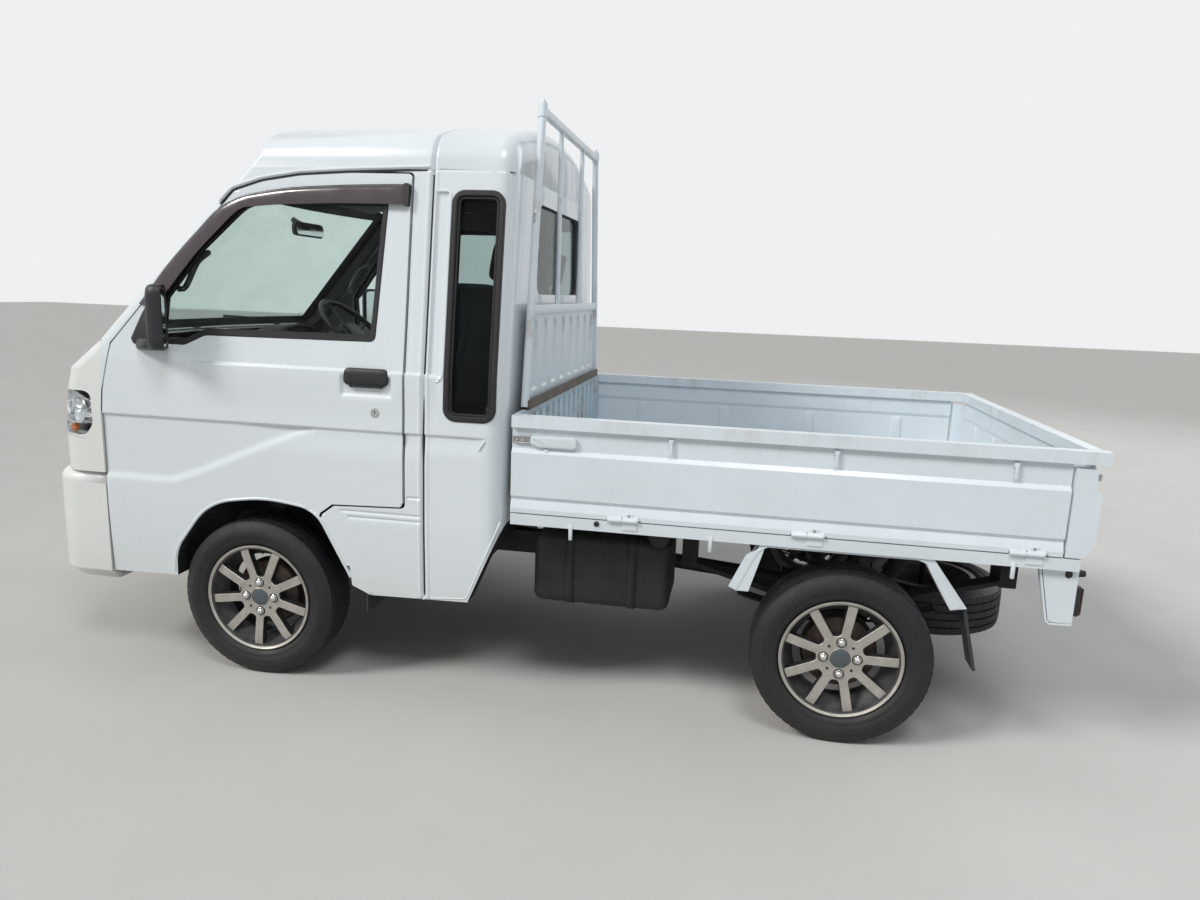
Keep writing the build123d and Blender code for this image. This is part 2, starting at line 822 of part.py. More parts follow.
def make_bed_floor():
    """Load floor with its sills, bearers and hinge knuckles."""
    half = half_width - gate_depth - panel_gap
    cap_x = tailgate_x + end_cap_depth + gate_gap
    panel_x = tailgate_x + gate_depth + gate_gap
    sheet_z = bed_floor_z - 6
    sill_rear = rear_end_x + 40
    side_sill = block(
        sill_rear, bed_front_x, bed_sill_inner_y, bed_sill_outer_y, bed_sill_low_z, bed_sill_top_z
    )
    web = block(cap_x, bed_front_x, bed_sill_inner_y, half, bed_sill_top_z, sheet_z)
    parts = [
        block(cap_x, bed_front_x - headboard_thickness, -half, half, sheet_z, bed_floor_z),
        block(panel_x, cap_x, 12 - half, half - 12, sheet_z, bed_floor_z),
        side_sill + web,
        mirrored(side_sill + web),
    ]
    inner = bed_sill_inner_y
    bearer_x = (
        sill_rear + 20, spare_x, from_rear(50), from_rear(340), from_rear(650), cab_rear_x - 100
    )
    for x in bearer_x:
        parts.append(block(x - 20, x + 20, -inner, inner, bearer_low_z, sheet_z))
    for y in (rail_y, -rail_y - rail_width):
        parts.append(block(sill_rear, bed_front_x, y, y + rail_width, bearer_low_z, sheet_z))
    hinge_y = half_width + hinge_proud
    leaf_top_z = hinge_z - 5
    for x in side_hinge_x:
        start = x - hinge_length / 2
        end = x - running_gap
        knuckle = rod((start, hinge_y, hinge_z), (end, hinge_y, hinge_z), hinge_radius)
        leaf = block(start, end, bed_sill_outer_y, hinge_y - 2, hinge_z - 30, leaf_top_z)
        parts.extend([knuckle + leaf, mirrored(knuckle + leaf)])
    hinge_x = tailgate_x - hinge_proud
    for y in rear_hinge_y:
        start = y - hinge_length / 2
        end = y - running_gap
        knuckle = rod((hinge_x, start, hinge_z), (hinge_x, end, hinge_z), hinge_radius)
        leaf = block(hinge_x + 2, sill_rear, start, end, hinge_z - 20, leaf_top_z)
        parts.append(knuckle + leaf)
    return joined(parts)


# Gate panel seen along the truck: depth from the outer face, height
gate_section = [
    (2.0, gate_low_z),
    (2.0, 662.0),
    (12.0, 690.0),
    (4.0, 700.0),
    (4.0, 835.0),
    (14.0, 848.0),
    (14.0, rail_low_z),
    (26.0, rail_low_z),
    (26.0, 848.0),
    (20.0, 835.0),
    (20.0, 700.0),
    (26.0, 690.0),
    (26.0, gate_low_z),
]


def make_side_gate(sign):
    """Pressed side gate and its top rail, which runs on over the tailgate's end."""
    points = [(half_width - depth, z) for depth, z in gate_section]
    rear = tailgate_x + end_cap_depth + gate_gap
    gate = front_prism(points, rear, bed_front_x)
    low_y = half_width - gate_depth
    rail = block(rear_end_x, bed_front_x, low_y, half_width, rail_low_z, gate_top_z)
    hinge_y = half_width + hinge_proud
    for x in side_hinge_x:
        start = (x - hinge_length / 2 - 1, hinge_y, hinge_z)
        gate = gate - rod(start, (x + 0.3, hinge_y, hinge_z), hinge_radius + 1.5)
        start = (x + 0.3, hinge_y, hinge_z)
        gate = gate + rod(start, (x + hinge_length / 2, hinge_y, hinge_z), hinge_radius)
    gate = gather([gate, rail])
    return gate if sign > 0 else mirrored(gate)


def make_tailgate():
    """Rear gate: pressed panel, top rail and deep end caps under the side rails."""
    points = [(tailgate_x + depth, z) for depth, z in gate_section]
    half = half_width - gate_depth - gate_gap
    gate = side_prism(points, -half, half)
    cap = [
        (tailgate_x + 26, gate_low_z),
        (tailgate_x + 2, 690),
        (tailgate_x + 2, 830),
        (tailgate_x + 20, 852),
        (tailgate_x + 20, end_cap_top_z),
        (tailgate_x + end_cap_depth, end_cap_top_z),
        (tailgate_x + end_cap_depth, gate_low_z),
    ]
    cap = side_prism(cap, half, half_width - 2)
    rail_x = tailgate_x + gate_depth
    rail = block(tailgate_x, rail_x, -half, half, rail_low_z, gate_top_z)
    hinge_x = tailgate_x - hinge_proud
    for y in rear_hinge_y:
        start = (hinge_x, y - hinge_length / 2 - 1, hinge_z)
        gate = gate - rod(start, (hinge_x, y + 0.3, hinge_z), hinge_radius + 1.5)
        start = (hinge_x, y + 0.3, hinge_z)
        gate = gate + rod(start, (hinge_x, y + hinge_length / 2, hinge_z), hinge_radius)
    return gather([gate, rail, cap, mirrored(cap)])


# Headboard ribs
rib_count = 14
rib_half_width = 18.0
rib_depth = 8.0
rib_margin = 100.0


def make_headboard():
    """Low front wall of the bed, ribbed, standing on the bed's front edge."""
    x1 = bed_front_x
    x0 = x1 - headboard_thickness
    half = half_width - gate_depth - panel_gap
    parts = [block(x0, x1, -half, half, bed_floor_z - 6, guard_foot_z)]
    rib_pitch = 2 * (half - rib_margin) / (rib_count - 1)
    low_z, high_z = bed_floor_z + 25, guard_foot_z - 20
    for index in range(rib_count):
        y = rib_margin - half + index * rib_pitch
        y0, y1 = y - rib_half_width, y + rib_half_width
        parts.append(block(x0 - rib_depth, x0, y0, y1, low_z, high_z))
    return joined(parts)


# Guard frame: tube sizes, places across the truck and heights
post_radius = 12.0
bar_radius = 9.0
post_foot_y = 610.0
post_top_y = 459.0
post_top_z = guard_top_z + 34
bar_y = 187.0
band_half_depth = 10.0
band_half_length = 565.0
band_z = (1245.0, 1275.0)
foot_half_depth = 16.0
foot_half_length = 615.0
foot_height = 30.0
# Panel between the foot and the band: half widths at its foot and top
panel_half_widths = (600.0, 558.0)
sheet_half_depth = 2.0
pressing_count = 8
pressing_pitch = 140.0
pressing_width = 50.0
pressing_z = (1000.0, 1225.0)
pressing_half_depth = 8.0


def make_guard_frame():
    """Tubular guard frame behind the cab's rear window, with its pressed lower panel."""
    x = bed_front_x - headboard_thickness / 2
    beam_y = post_top_y + 15
    parts = [rod((x, -beam_y, guard_top_z), (x, beam_y, guard_top_z), post_radius)]
    for sign in (-1, 1):
        foot = (x, sign * post_foot_y, guard_foot_z + 6)
        top = (x, sign * post_top_y, post_top_z)
        parts.append(rod(foot, top, post_radius))
        bar_foot = (x, sign * bar_y, sum(band_z) / 2)
        parts.append(rod(bar_foot, (x, sign * bar_y, guard_top_z), bar_radius))
    d = band_half_depth
    parts.append(block(x - d, x + d, -band_half_length, band_half_length, *band_z))
    d = foot_half_depth
    foot_top_z = guard_foot_z + foot_height
    parts.append(block(x - d, x + d, -foot_half_length, foot_half_length, guard_foot_z, foot_top_z))
    low, high = panel_half_widths
    low_z, high_z = foot_top_z - 1, band_z[0] + 5
    panel = [(-low, low_z), (low, low_z), (high, high_z), (-high, high_z)]
    parts.append(front_prism(panel, x - sheet_half_depth, x + sheet_half_depth))
    first_y = -pressing_pitch * (pressing_count - 1) / 2
    low_z, high_z = pressing_z
    d = pressing_half_depth
    for index in range(pressing_count):
        y0 = first_y + index * pressing_pitch - pressing_width / 2
        y1 = y0 + pressing_width
        arch = [(y0, low_z), (y1, low_z), (y1, high_z), (y0, high_z)]
        arch_radius = pressing_width / 2 - 1
        parts.append(front_prism(arch, x - d, x + d, [0, 0, arch_radius, arch_radius]))
    return joined(parts)


# Rear fender seen from the side: place ahead of the rear axle, height
fender_section = [
    (325, 461),
    (286, 461),
    (246, 602),
    (-204, 602),
    (-288, 461),
    (-333, 470),
    (-230, 608),
    (-204, 609),
    (260, 609),
]


def make_rear_fenders():
    """Folded guards over the rear tyres."""
    points = [(from_rear(x), z) for x, z in fender_section]
    return both(side_prism(points, bed_sill_inner_y, half_width - 10))


# Mud flaps: the front one's heights and thickness, and the rear one seen from the side
front_flap_z = (235.0, 420.0)
flap_thickness = 6.0
rear_flap = [(-324, 468.2), (-333, 470), (-379, 281), (-370, 281)]


def make_mud_flaps():
    """Rubber flaps behind all four tyres."""
    front_x = front_axle_x - arch_half_length - floor_thickness
    front = block(front_x - flap_thickness, front_x, kingpin_y - 50, floor_half, *front_flap_z)
    rear = [(from_rear(x), z) for x, z in rear_flap]
    return gather([both(front), both(side_prism(rear, bed_sill_inner_y, half_width - 17.5))])


# Lamp brackets and tail lamps
bracket_low_z = 450.0
bracket_thickness = 15.0
bracket_top_length = 97.0
bracket_foot_length = 63.0
tail_lamp_depth = 22.0
tail_lamp_width = 175.0
tail_lamp_z = (470.0, 560.0)


def make_lamp_brackets():
    """Rear corner brackets that carry the lamps."""
    points = [
        (lamp_x + bracket_top_length, bed_sill_low_z),
        (lamp_x + bracket_foot_length, bracket_low_z),
        (lamp_x, bracket_low_z),
        (lamp_x, bed_sill_low_z),
    ]
    inner_y = bracket_outer_y - bracket_thickness
    return both(side_prism(points, inner_y, bracket_outer_y, [0, 10, 0, 0]))


def make_tail_lamps():
    """Lamp clusters on the corner brackets."""
    inner_y = bracket_outer_y - tail_lamp_width
    rear_x = lamp_x - tail_lamp_depth
    return both(block(rear_x, lamp_x, inner_y, bracket_outer_y, *tail_lamp_z))


# Dashboard and instrument hood seen from the side: place ahead of the axle, height
board_section = [
    (760, 760), (520, 760), (430, 860), (400, 1000), (430, 1085), (640, 1085), (760, 1000),
]
board_radii = [0, 30, 60, 40, 30, 0, 0]
board_half = half_width - 97.5
hood_section = [(420, 1060), (420, 1120), (500, 1135), (580, 1070)]
hood_half = 160.0


def make_dashboard():
    """Dashboard across the cab, with the instrument hood."""
    board = side_prism(place_side(board_section), -board_half, board_half, board_radii)
    hood_y = wheel_centre.Y
    hood = side_prism(place_side(hood_section), hood_y - hood_half, hood_y + hood_half)
    low = wheel_centre - column_direction() * column_length
    column = rod(tuple(low), tuple(wheel_centre), column_radius + running_gap)
    return ((board + hood) & form_inner) - column


# Seats: places ahead of the axle, half widths and heights
seat_y = 345.0
cushion_x = (-514.0, -24.0)
cushion_half = 235.0
cushion_top_z = 800.0
back_section = [(-684, 800), (-554, 800), (-654, 1330), (-759, 1330)]
back_half = 225.0
link_x = (-684.0, -509.0)
link_half = 200.0
link_low_z = 760.0
head_rest_x = (-784.0, -704.0)
head_rest_half = 120.0
head_rest_z = (1330.0, 1480.0)
seat_radius = 30.0


def make_seats():
    """Driver's and passenger's seats."""
    seats = []
    for y in (-seat_y, seat_y):
        rear, front = (ahead(x) for x in cushion_x)
        cushion = block(rear, front, y - cushion_half, y + cushion_half, seat_floor_z, cushion_top_z)
        cushion = fillet(cushion.edges().filter_by(Axis.Y), seat_radius)
        back = side_prism(place_side(back_section), y - back_half, y + back_half, seat_radius)
        rear, front = (ahead(x) for x in link_x)
        link = block(rear, front, y - link_half, y + link_half, link_low_z, cushion_top_z + 0.5)
        rear, front = (ahead(x) for x in head_rest_x)
        rest = block(rear, front, y - head_rest_half, y + head_rest_half, *head_rest_z)
        seats.append(joined([cushion, back + link, rest]))
    return gather(seats)


# Steering wheel
grip_radius = 13.0
boss_radius = 48.0
boss_length = 50.0
boss_centre_z = -20.0
spoke_size = (steering_wheel_radius - 20, 34.0, 14.0)
spoke_centre_z = -8.0
spoke_angles = (0, 180, 270)


def make_steering_wheel():
    """Rim, spokes and boss of the steering wheel."""
    plane = Plane(origin=wheel_centre, z_dir=column_direction(), x_dir=(0, 1, 0))
    ring = Torus(steering_wheel_radius - grip_radius, grip_radius)
    boss = Pos(0, 0, boss_centre_z) * Cylinder(boss_radius, boss_length)
    parts = [ring, boss]
    for angle in spoke_angles:
        spoke = Pos(steering_wheel_radius / 2, 0, spoke_centre_z) * Box(*spoke_size)
        parts.append(Rot(0, 0, angle) * spoke)
    return plane * joined(parts)


def make_steering_column():
    """Column from the dashboard to the wheel's boss."""
    boss_end = boss_length / 2 - boss_centre_z
    top = wheel_centre - column_direction() * (boss_end + running_gap)
    low = wheel_centre - column_direction() * column_length
    return rod(tuple(low), tuple(top), column_radius)


# Wipers: their inner ends, blade length and rise, and how far they stand proud
wiper_starts = (-560.0, -40.0)
wiper_length = 430.0
wiper_rise = 26.0
wiper_width = 10.0
wiper_low_z = 1124.0
wiper_proud = 12.0


def make_wipers():
    """Two wipers parked at the base of the windscreen."""
    rest = glass_depth - running_gap
    outer = cab_form(-wiper_proud, -wiper_proud, -wiper_proud, -wiper_proud)
    band = outer - cab_form(rest, rest, rest, rest)
    wipers = []
    for y in wiper_starts:
        end = y + wiper_length
        end_z = wiper_low_z + wiper_rise
        blade = [
            (y, wiper_low_z), (end, end_z), (end, end_z + wiper_width), (y, wiper_low_z + wiper_width)
        ]
        wipers.append(band & front_prism(blade, ahead(400), front_end_x))
    return gather(wipers)


# Engine, gearbox and their mount arms
engine_half = 190.0
engine_z = (300.0, 600.0)
gearbox_length = 120.0
gearbox_half = 110.0
gearbox_z = (320.0, 520.0)
mount_arm_x = (-420.0, -360.0)
mount_arm_z = (420.0, 460.0)


def make_engine():
    """Engine and gearbox as one block at their place under the seats, on mount arms."""
    bell_x = gearbox_rear_x + gearbox_length
    engine = block(bell_x, ahead(-110), -engine_half, engine_half, *engine_z)
    gearbox = block(gearbox_rear_x, bell_x, -gearbox_half, gearbox_half, *gearbox_z)
    rear, front = (ahead(x) for x in mount_arm_x)
    arm = block(rear, front, engine_half, rail_y, *mount_arm_z)
    return joined([engine, gearbox, arm, mirrored(arm)])


# Fuel tank and its bracket: places ahead of the rear axle
tank_gap = 27.0
tank_x = (530.0, 970.0)
tank_width = 268.0
tank_z = (330.0, 560.0)
tank_radius = 30.0
tank_bracket_x = (560.0, 610.0)
tank_bracket_low_z = 490.0


def make_fuel_tank():
    """Fuel tank outside the left rail, on its bracket."""
    rail_face = rail_y + rail_width
    inner_y = rail_face + tank_gap
    rear, front = (from_rear(x) for x in tank_x)
    tank = block(rear, front, inner_y, inner_y + tank_width, *tank_z)
    tank = fillet(tank.edges(), tank_radius)
    rear, front = (from_rear(x) for x in tank_bracket_x)
    bracket = block(rear, front, rail_face, inner_y + 1, tank_bracket_low_z, tank_z[1])
    return tank + bracket


# Silencer beside the right rail, its tail pipe and hanger: places ahead of the rear axle
silencer_radius = 90.0
silencer_length = 380.0
silencer_x = 750.0
silencer_y = -(rail_y + rail_width + 135)
silencer_z = 400.0
tail_pipe_x = (565.0, 500.0)
tail_pipe_radius = 22.0
hanger_half = 15.0


def make_exhaust():
    """Silencer and tail pipe beside the right rail, on its hanger."""
    silencer = Cylinder(silencer_radius, silencer_length)
    silencer = Pos(from_rear(silencer_x), silencer_y, silencer_z) * Rot(0, 90, 0) * silencer
    start, end = ((from_rear(x), silencer_y, silencer_z) for x in tail_pipe_x)
    pipe = rod(start, end, tail_pipe_radius)
    x = from_rear(silencer_x)
    top_z = silencer_z + silencer_radius + 10
    hanger = block(
        x - hanger_half, x + hanger_half, silencer_y - 10, -rail_y - rail_width, top_z - 15, top_z
    )
    return joined([silencer, pipe, hanger])


def make_spare_wheel():
    """Spare rim and tyre hung flat behind the rear axle."""
    place = Pos(spare_x, 0, spare_z) * Rot(90, 0, 0)
    disc = [(30, -spare_disc_depth), (150, -spare_disc_depth), (150, -8), (30, -8)]
    disc = revolve(Plane.XY * outline(disc), axis=Axis.Y)
    return place * (make_barrel() + disc), place * make_tyre()


def save(name, shape):
    """Write one node's solids."""
    export_step(shape, f"parts/{name}.step")


os.makedirs("parts", exist_ok=True)
spare_rim, spare_tyre = make_spare_wheel()
nodes = {
    "cab_body": make_cab_body(),
    "roof": make_roof(),
    "front_panel": make_front_panel(),
    "headlamps": make_headlamps(),
    "bumper": make_bumper(),
    "windscreen": make_windscreen(),
    "cab_glass": make_cab_glass(),
    "dashboard": make_dashboard(),
    "seats": make_seats(),
    "steering_column": make_steering_column(),
    "steering_wheel": make_steering_wheel(),
    "wipers": make_wipers(),
    "frame": make_frame(),
    "engine": make_engine(),
    "fuel_tank": make_fuel_tank(),
    "exhaust": make_exhaust(),
    "rear_axle": make_rear_axle(),
    "rear_springs": make_rear_springs(),
    "front_suspension": make_front_suspension(),
    "spare_rim": spare_rim,
    "spare_tyre": spare_tyre,
    "bed_floor": make_bed_floor(),
    "headboard": make_headboard(),
    "guard_frame": make_guard_frame(),
    "tailgate": make_tailgate(),
    "rear_fenders": make_rear_fenders(),
    "mud_flaps": make_mud_flaps(),
    "lamp_brackets": make_lamp_brackets(),
    "tail_lamps": make_tail_lamps(),
}
for side_name, sign in (("left", 1), ("right", -1)):
    nodes[f"door_{side_name}"] = make_door(sign)
    nodes[f"door_glass_{side_name}"] = make_door_glass(sign)
    nodes[f"mirror_{side_name}"] = make_mirror(sign)
    nodes[f"knuckle_{side_name}"] = make_knuckle(sign)
    nodes[f"gate_{side_name}"] = make_side_gate(sign)
    for axle_name, x, y in (
        ("front", front_axle_x, front_half_track),
        ("rear", rear_axle_x, rear_half_track),
    ):
        nodes[f"rim_{axle_name}_{side_name}"] = at_wheel(make_wheel_rim(sign), x, sign * y)
        nodes[f"tyre_{axle_name}_{side_name}"] = at_wheel(make_tyre(), x, sign * y)
for name, shape in nodes.items():
    save(name, shape)
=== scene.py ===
from math import atan2, cos, hypot, pi, radians, sin

import bmesh
import bpy
from mathutils import Matrix, Vector
from mathutils.bvhtree import BVHTree
from mathutils.geometry import area_tri, delaunay_2d_cdt, tessellate_polygon


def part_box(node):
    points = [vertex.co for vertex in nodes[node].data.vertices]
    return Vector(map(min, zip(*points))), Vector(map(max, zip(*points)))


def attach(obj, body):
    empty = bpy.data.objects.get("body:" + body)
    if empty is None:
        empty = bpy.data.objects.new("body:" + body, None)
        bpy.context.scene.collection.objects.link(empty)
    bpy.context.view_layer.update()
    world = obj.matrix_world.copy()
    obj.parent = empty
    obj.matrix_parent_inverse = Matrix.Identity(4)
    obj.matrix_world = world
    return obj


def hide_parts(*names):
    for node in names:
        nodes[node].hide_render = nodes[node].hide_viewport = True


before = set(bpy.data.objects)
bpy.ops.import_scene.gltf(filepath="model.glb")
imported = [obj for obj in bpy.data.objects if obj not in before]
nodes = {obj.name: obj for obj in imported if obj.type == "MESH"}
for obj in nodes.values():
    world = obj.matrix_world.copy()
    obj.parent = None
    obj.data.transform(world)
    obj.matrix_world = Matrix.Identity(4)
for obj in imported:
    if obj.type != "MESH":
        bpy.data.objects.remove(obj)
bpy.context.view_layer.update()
collection = bpy.context.scene.collection

# Places along the truck are given in millimetres ahead of the front axle.
axle_x = 0.8545
axle_z = 0.27
wheelbase = 1.9
half_width = 0.7375
sides = (("left", 1), ("right", -1))


def at(x, y, z):
    """Point in metres from millimetres ahead of the front axle, to the left and up."""
    return Vector((axle_x + x / 1000, y / 1000, z / 1000))


# Meshes


def finish_mesh(name, body, bm, materials, angle=35, bevel=0.0, segments=2, subdivide=0):
    """New object from a bmesh, shaded smooth up to an angle and riding on a body."""
    bmesh.ops.recalc_face_normals(bm, faces=bm.faces)
    mesh = bpy.data.meshes.new(name)
    bm.to_mesh(mesh)
    bm.free()
    mesh.shade_smooth()
    mesh.set_sharp_from_angle(angle=radians(angle))
    for material in materials if isinstance(materials, (list, tuple)) else [materials]:
        mesh.materials.append(material)
    obj = bpy.data.objects.new(name, mesh)
    collection.objects.link(obj)
    if bevel:
        modifier = obj.modifiers.new("bevel", "BEVEL")
        modifier.width = bevel
        modifier.segments = segments
        modifier.limit_method = "ANGLE"
        modifier.angle_limit = radians(35)
        modifier.harden_normals = True
    if subdivide:
        modifier = obj.modifiers.new("subdivide", "SUBSURF")
        modifier.levels = modifier.render_levels = subdivide
    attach(obj, body)
    return obj


def bridge(bm, rings, closed=True, caps=False, index=0, loop=False):
    """Quads between neighbouring rings of points; a loop also joins the last ring to the first."""
    made = [[bm.verts.new(p) for p in ring] for ring in rings]
    count = len(made[0])
    for low, high in zip(made, made[1:] + made[:1] if loop else made[1:]):
        for i in range(count if closed else count - 1):
            j = (i + 1) % count
            face = bm.faces.new((low[i], low[j], high[j], high[i]))
            face.material_index = index
    if caps:
        for ring in (made[0], made[-1]):
            bm.faces.new(ring).material_index = index
    return made


def lathe(bm, profile, centre, steps=96, index=0, axis="Y", closed=True):
    """Turned form from (radius, along) pairs in metres."""
    rings = []
    for radius, along in profile:
        ring = []
        for i in range(steps):
            a = 2 * pi * i / steps
            if axis == "Y":
                p = Vector((radius * cos(a), along, radius * sin(a)))
            elif axis == "X":
                p = Vector((along, radius * cos(a), radius * sin(a)))
            else:
                p = Vector((radius * cos(a), radius * sin(a), along))
            ring.append(centre + p)
        rings.append(ring)
    bridge(bm, rings, index=index, loop=closed)


def box(bm, low, high, index=0):
    """Block between two corners."""
    low, high = Vector(low), Vector(high)
    matrix = Matrix.Translation((low + high) / 2) @ Matrix.Diagonal((*(high - low), 1))
    made = bmesh.ops.create_cube(bm, size=1, matrix=matrix)
    for face in {f for v in made["verts"] for f in v.link_faces}:
        face.material_index = index


def prism(bm, points, offset, index=0):
    """Closed outline carried along an offset."""
    bridge(bm, [points, [p + Vector(offset) for p in points]], caps=True, index=index)


def with_ways(points, closed):
    """Each point of a path with the way from the point before it to the one after it."""
    count = len(points)
    for i, p in enumerate(points):
        before = points[i - 1] if i or closed else p
        after = points[(i + 1) % count] if i + 1 < count or closed else p
        yield p, after - before


def tube(bm, points, radius, sides_count=12, closed=False, index=0, flat=1.0, across=(0, 0, 1)):
    """Round or flattened bar along points. radius may be a list, one for each point."""
    points = [Vector(p) for p in points]
    radii = radius if isinstance(radius, (list, tuple)) else [radius] * len(points)
    rings = []
    for (p, way), r in zip(with_ways(points, closed), radii):
        along = way.normalized()
        side = along.cross(Vector(across))
        if side.length < 1e-4:
            side = along.cross(Vector((1, 0, 0)))
        side.normalize()
        up = side.cross(along)
        turns = [2 * pi * k / sides_count for k in range(sides_count)]
        rings.append([p + side * r * cos(a) + up * r * flat * sin(a) for a in turns])
    bridge(bm, rings, caps=not closed, index=index, loop=closed)


def sweep(bm, points, normals, profile, closed=False, index=0):
    """Profile of (outward, across) pairs in metres, carried along points on a surface."""
    rings = []
    for (p, way), n in zip(with_ways(points, closed), normals):
        side = way.cross(n).normalized()
        rings.append([p + n * out + side * across for out, across in profile])
    bridge(bm, rings, caps=not closed, index=index, loop=closed)
    if closed:
        bmesh.ops.remove_doubles(bm, verts=bm.verts, dist=1e-6)


def rounded(points, radii=0, step=14.0, closed=True):
    """Flat outline with its corners rounded and its sides divided."""
    points = [Vector(p).to_2d() for p in points]
    count = len(points)
    radii = radii if isinstance(radii, (list, tuple)) else [radii] * count
    path = []
    for i, p in enumerate(points):
        if not closed and i in (0, count - 1):
            path.append(p)
            continue
        a = (points[i - 1] - p).normalized()
        b = (points[(i + 1) % count] - p).normalized()
        half = a.angle(b, pi) / 2
        r = radii[i]
        if r <= 0 or abs(half - pi / 2) < 0.01:
            path.append(p)
            continue
        reach = r / (sin(half) / cos(half))
        centre = p + (a + b).normalized() * r / sin(half)
        start = p + a * reach - centre
        end = p + b * reach - centre
        turn = atan2(start.x * end.y - start.y * end.x, start.dot(end))
        steps = max(3, int(abs(turn) * r / 8) + 2)
        for k in range(steps + 1):
            t = turn * k / steps
            c, s = cos(t), sin(t)
            path.append(centre + Vector((c * start.x - s * start.y, s * start.x + c * start.y)))
    spread = []
    last = len(path) if closed else len(path) - 1
    for i in range(last):
        a, b = path[i], path[(i + 1) % len(path)]
        parts = max(1, round((b - a).length / step))
        spread.extend(a.lerp(b, k / parts) for k in range(parts))
    if not closed:
        spread.append(path[-1])
    return spread


def oblong(a, b, low, high, radii=0, step=14.0):
    """Four-sided outline with rounded corners, from place a to b and between two heights."""
    return rounded([(a, low), (b, low), (b, high), (a, high)], radii, step)


def grown(outline, amount):
    """Closed outline moved outwards by an amount."""
    area = sum(a.x * b.y - b.x * a.y for a, b in zip(outline, outline[1:] + outline[:1]))
    turn = 1 if area > 0 else -1
    moved = []
    for p, way in with_ways(outline, True):
        t = way.normalized()
        moved.append(p + Vector((t.y, -t.x)) * turn * amount)
    return moved


def grown_open(path, amount):
    """Open side-view path moved to its right by an amount."""
    moved = []
    for p, way in with_ways(path, False):
        t = way.normalized()
        moved.append(p + Vector((t.y, -t.x)) * amount)
    return moved


def even(outline, count):
    """Closed outline with a given number of points, evenly spread along it."""
    closed = outline + outline[:1]
    lengths = [0.0]
    for a, b in zip(closed, closed[1:]):
        lengths.append(lengths[-1] + (b - a).length)
    start = 0
    result = []
    for k in range(count):
        s = lengths[-1] * k / count
        while lengths[start + 1] < s:
            start += 1
        t = (s - lengths[start]) / max(1e-9, lengths[start + 1] - lengths[start])
        result.append(closed[start].lerp(closed[start + 1], t))
    return result


def spline(points, count):
    """Smooth run of points through the given ones."""
    points = [Vector(p) for p in points]
    lengths = [0.0]
    for a, b in zip(points, points[1:]):
        lengths.append(lengths[-1] + (b - a).length)
    result = []
    for k in range(count + 1):
        s = lengths[-1] * k / count
        i = max(j for j in range(len(points) - 1) if lengths[j] <= s + 1e-9)
        t = (s - lengths[i]) / (lengths[i + 1] - lengths[i])
        p1, p2 = points[i], points[i + 1]
        a = (p2 - points[i - 1]) * 0.5 if i else p2 - p1
        b = (points[i + 2] - p1) * 0.5 if i + 2 < len(points) else p2 - p1
        t2, t3 = t * t, t * t * t
        ends = p1 * (2 * t3 - 3 * t2 + 1) + p2 * (3 * t2 - 2 * t3)
        result.append(ends + a * (t3 - 2 * t2 + t) + b * (t3 - t2))
    return result


def tapered(x, low_half, low, high_half, high, radii, step):
    """Four-sided outline about a place, with its own half width at each of two heights."""
    corners = [(x - low_half, low), (x + low_half, low), (x + high_half, high), (x - high_half, high)]
    return rounded(corners, radii, step)


def metres(pairs):
    """Pairs of millimetres, in metres."""
    return [(a / 1000, b / 1000) for a, b in pairs]


def stack(bm, outline, steps, place, index=0):
    """Closed plate: each step is a distance and by how much the outline shrinks there."""
    layers = [[place(p, d) for p in grown(outline, -s)] for d, s in steps]
    bridge(bm, layers, caps=True, index=index)


def facing(p, x):
    """Place of a front-view (Y, Z) point at a distance along the truck."""
    return at(x, p.x, p.y)


def over_side(sign):
    """Place of a side-view point at a distance from the cab's side, for stack."""
    return lambda p, lift: on_side(p.x, p.y, sign, lift)[0]


def bolt(bm, place, offset, radii, index=1):
    """Six-sided bolt head from its foot to its top."""
    tube(bm, [place, place + Vector(offset)], radii, 6, index=index)


def add_turned(bm, part, way, place, axis="X"):
    """Part made along an axis, turned to a way and put at a place in another mesh."""
    turn = way.to_track_quat(axis, "Z").to_matrix()
    bmesh.ops.rotate(part, cent=(0, 0, 0), matrix=turn, verts=part.verts)
    bmesh.ops.translate(part, vec=place, verts=part.verts)
    mesh = bpy.data.meshes.new("part")
    part.to_mesh(mesh)
    part.free()
    bm.from_mesh(mesh)
    bpy.data.meshes.remove(mesh)


def solidify(obj, thickness):
    """Thickness for a piece made as a sheet."""
    obj.modifiers.new("solidify", "SOLIDIFY").thickness = thickness


def smooth(a, b, t):
    """Soft step from 0 at a to 1 at b."""
    t = max(0.0, min(1.0, (t - a) / (b - a)))
    return t * t * (3 - 2 * t)


class Surface:
    """Outer surface of some CAD nodes, to seat pieces on."""

    def __init__(self, *names):
        self.trees = []
        for name in names:
            mesh = nodes[name].data
            verts = [v.co.copy() for v in mesh.vertices]
            self.trees.append(BVHTree.FromPolygons(verts, [list(p.vertices) for p in mesh.polygons]))

    def hit(self, start, direction):
        """Nearest point and normal from start along a direction."""
        best = None
        for tree in self.trees:
            place, normal, _, distance = tree.ray_cast(start, direction)
            if place is not None and (best is None or distance < best[2]):
                best = (place, normal, distance)
        if best is None:
            return None
        place, normal, _ = best
        return place, normal if normal.dot(direction) < 0 else -normal

    def front(self, y, z):
        """Point and normal on the front at a place given in millimetres."""
        found = self.hit(at(1200, y, z), Vector((-1, 0, 0)))
        return found or (at(700, y, z), Vector((1, 0, 0)))


# The cab's front-view section: height, half width
side_section = [(300, 722), (560, 731), (875, 731), (1050, 722), (1662, 640), (1762, 626)]


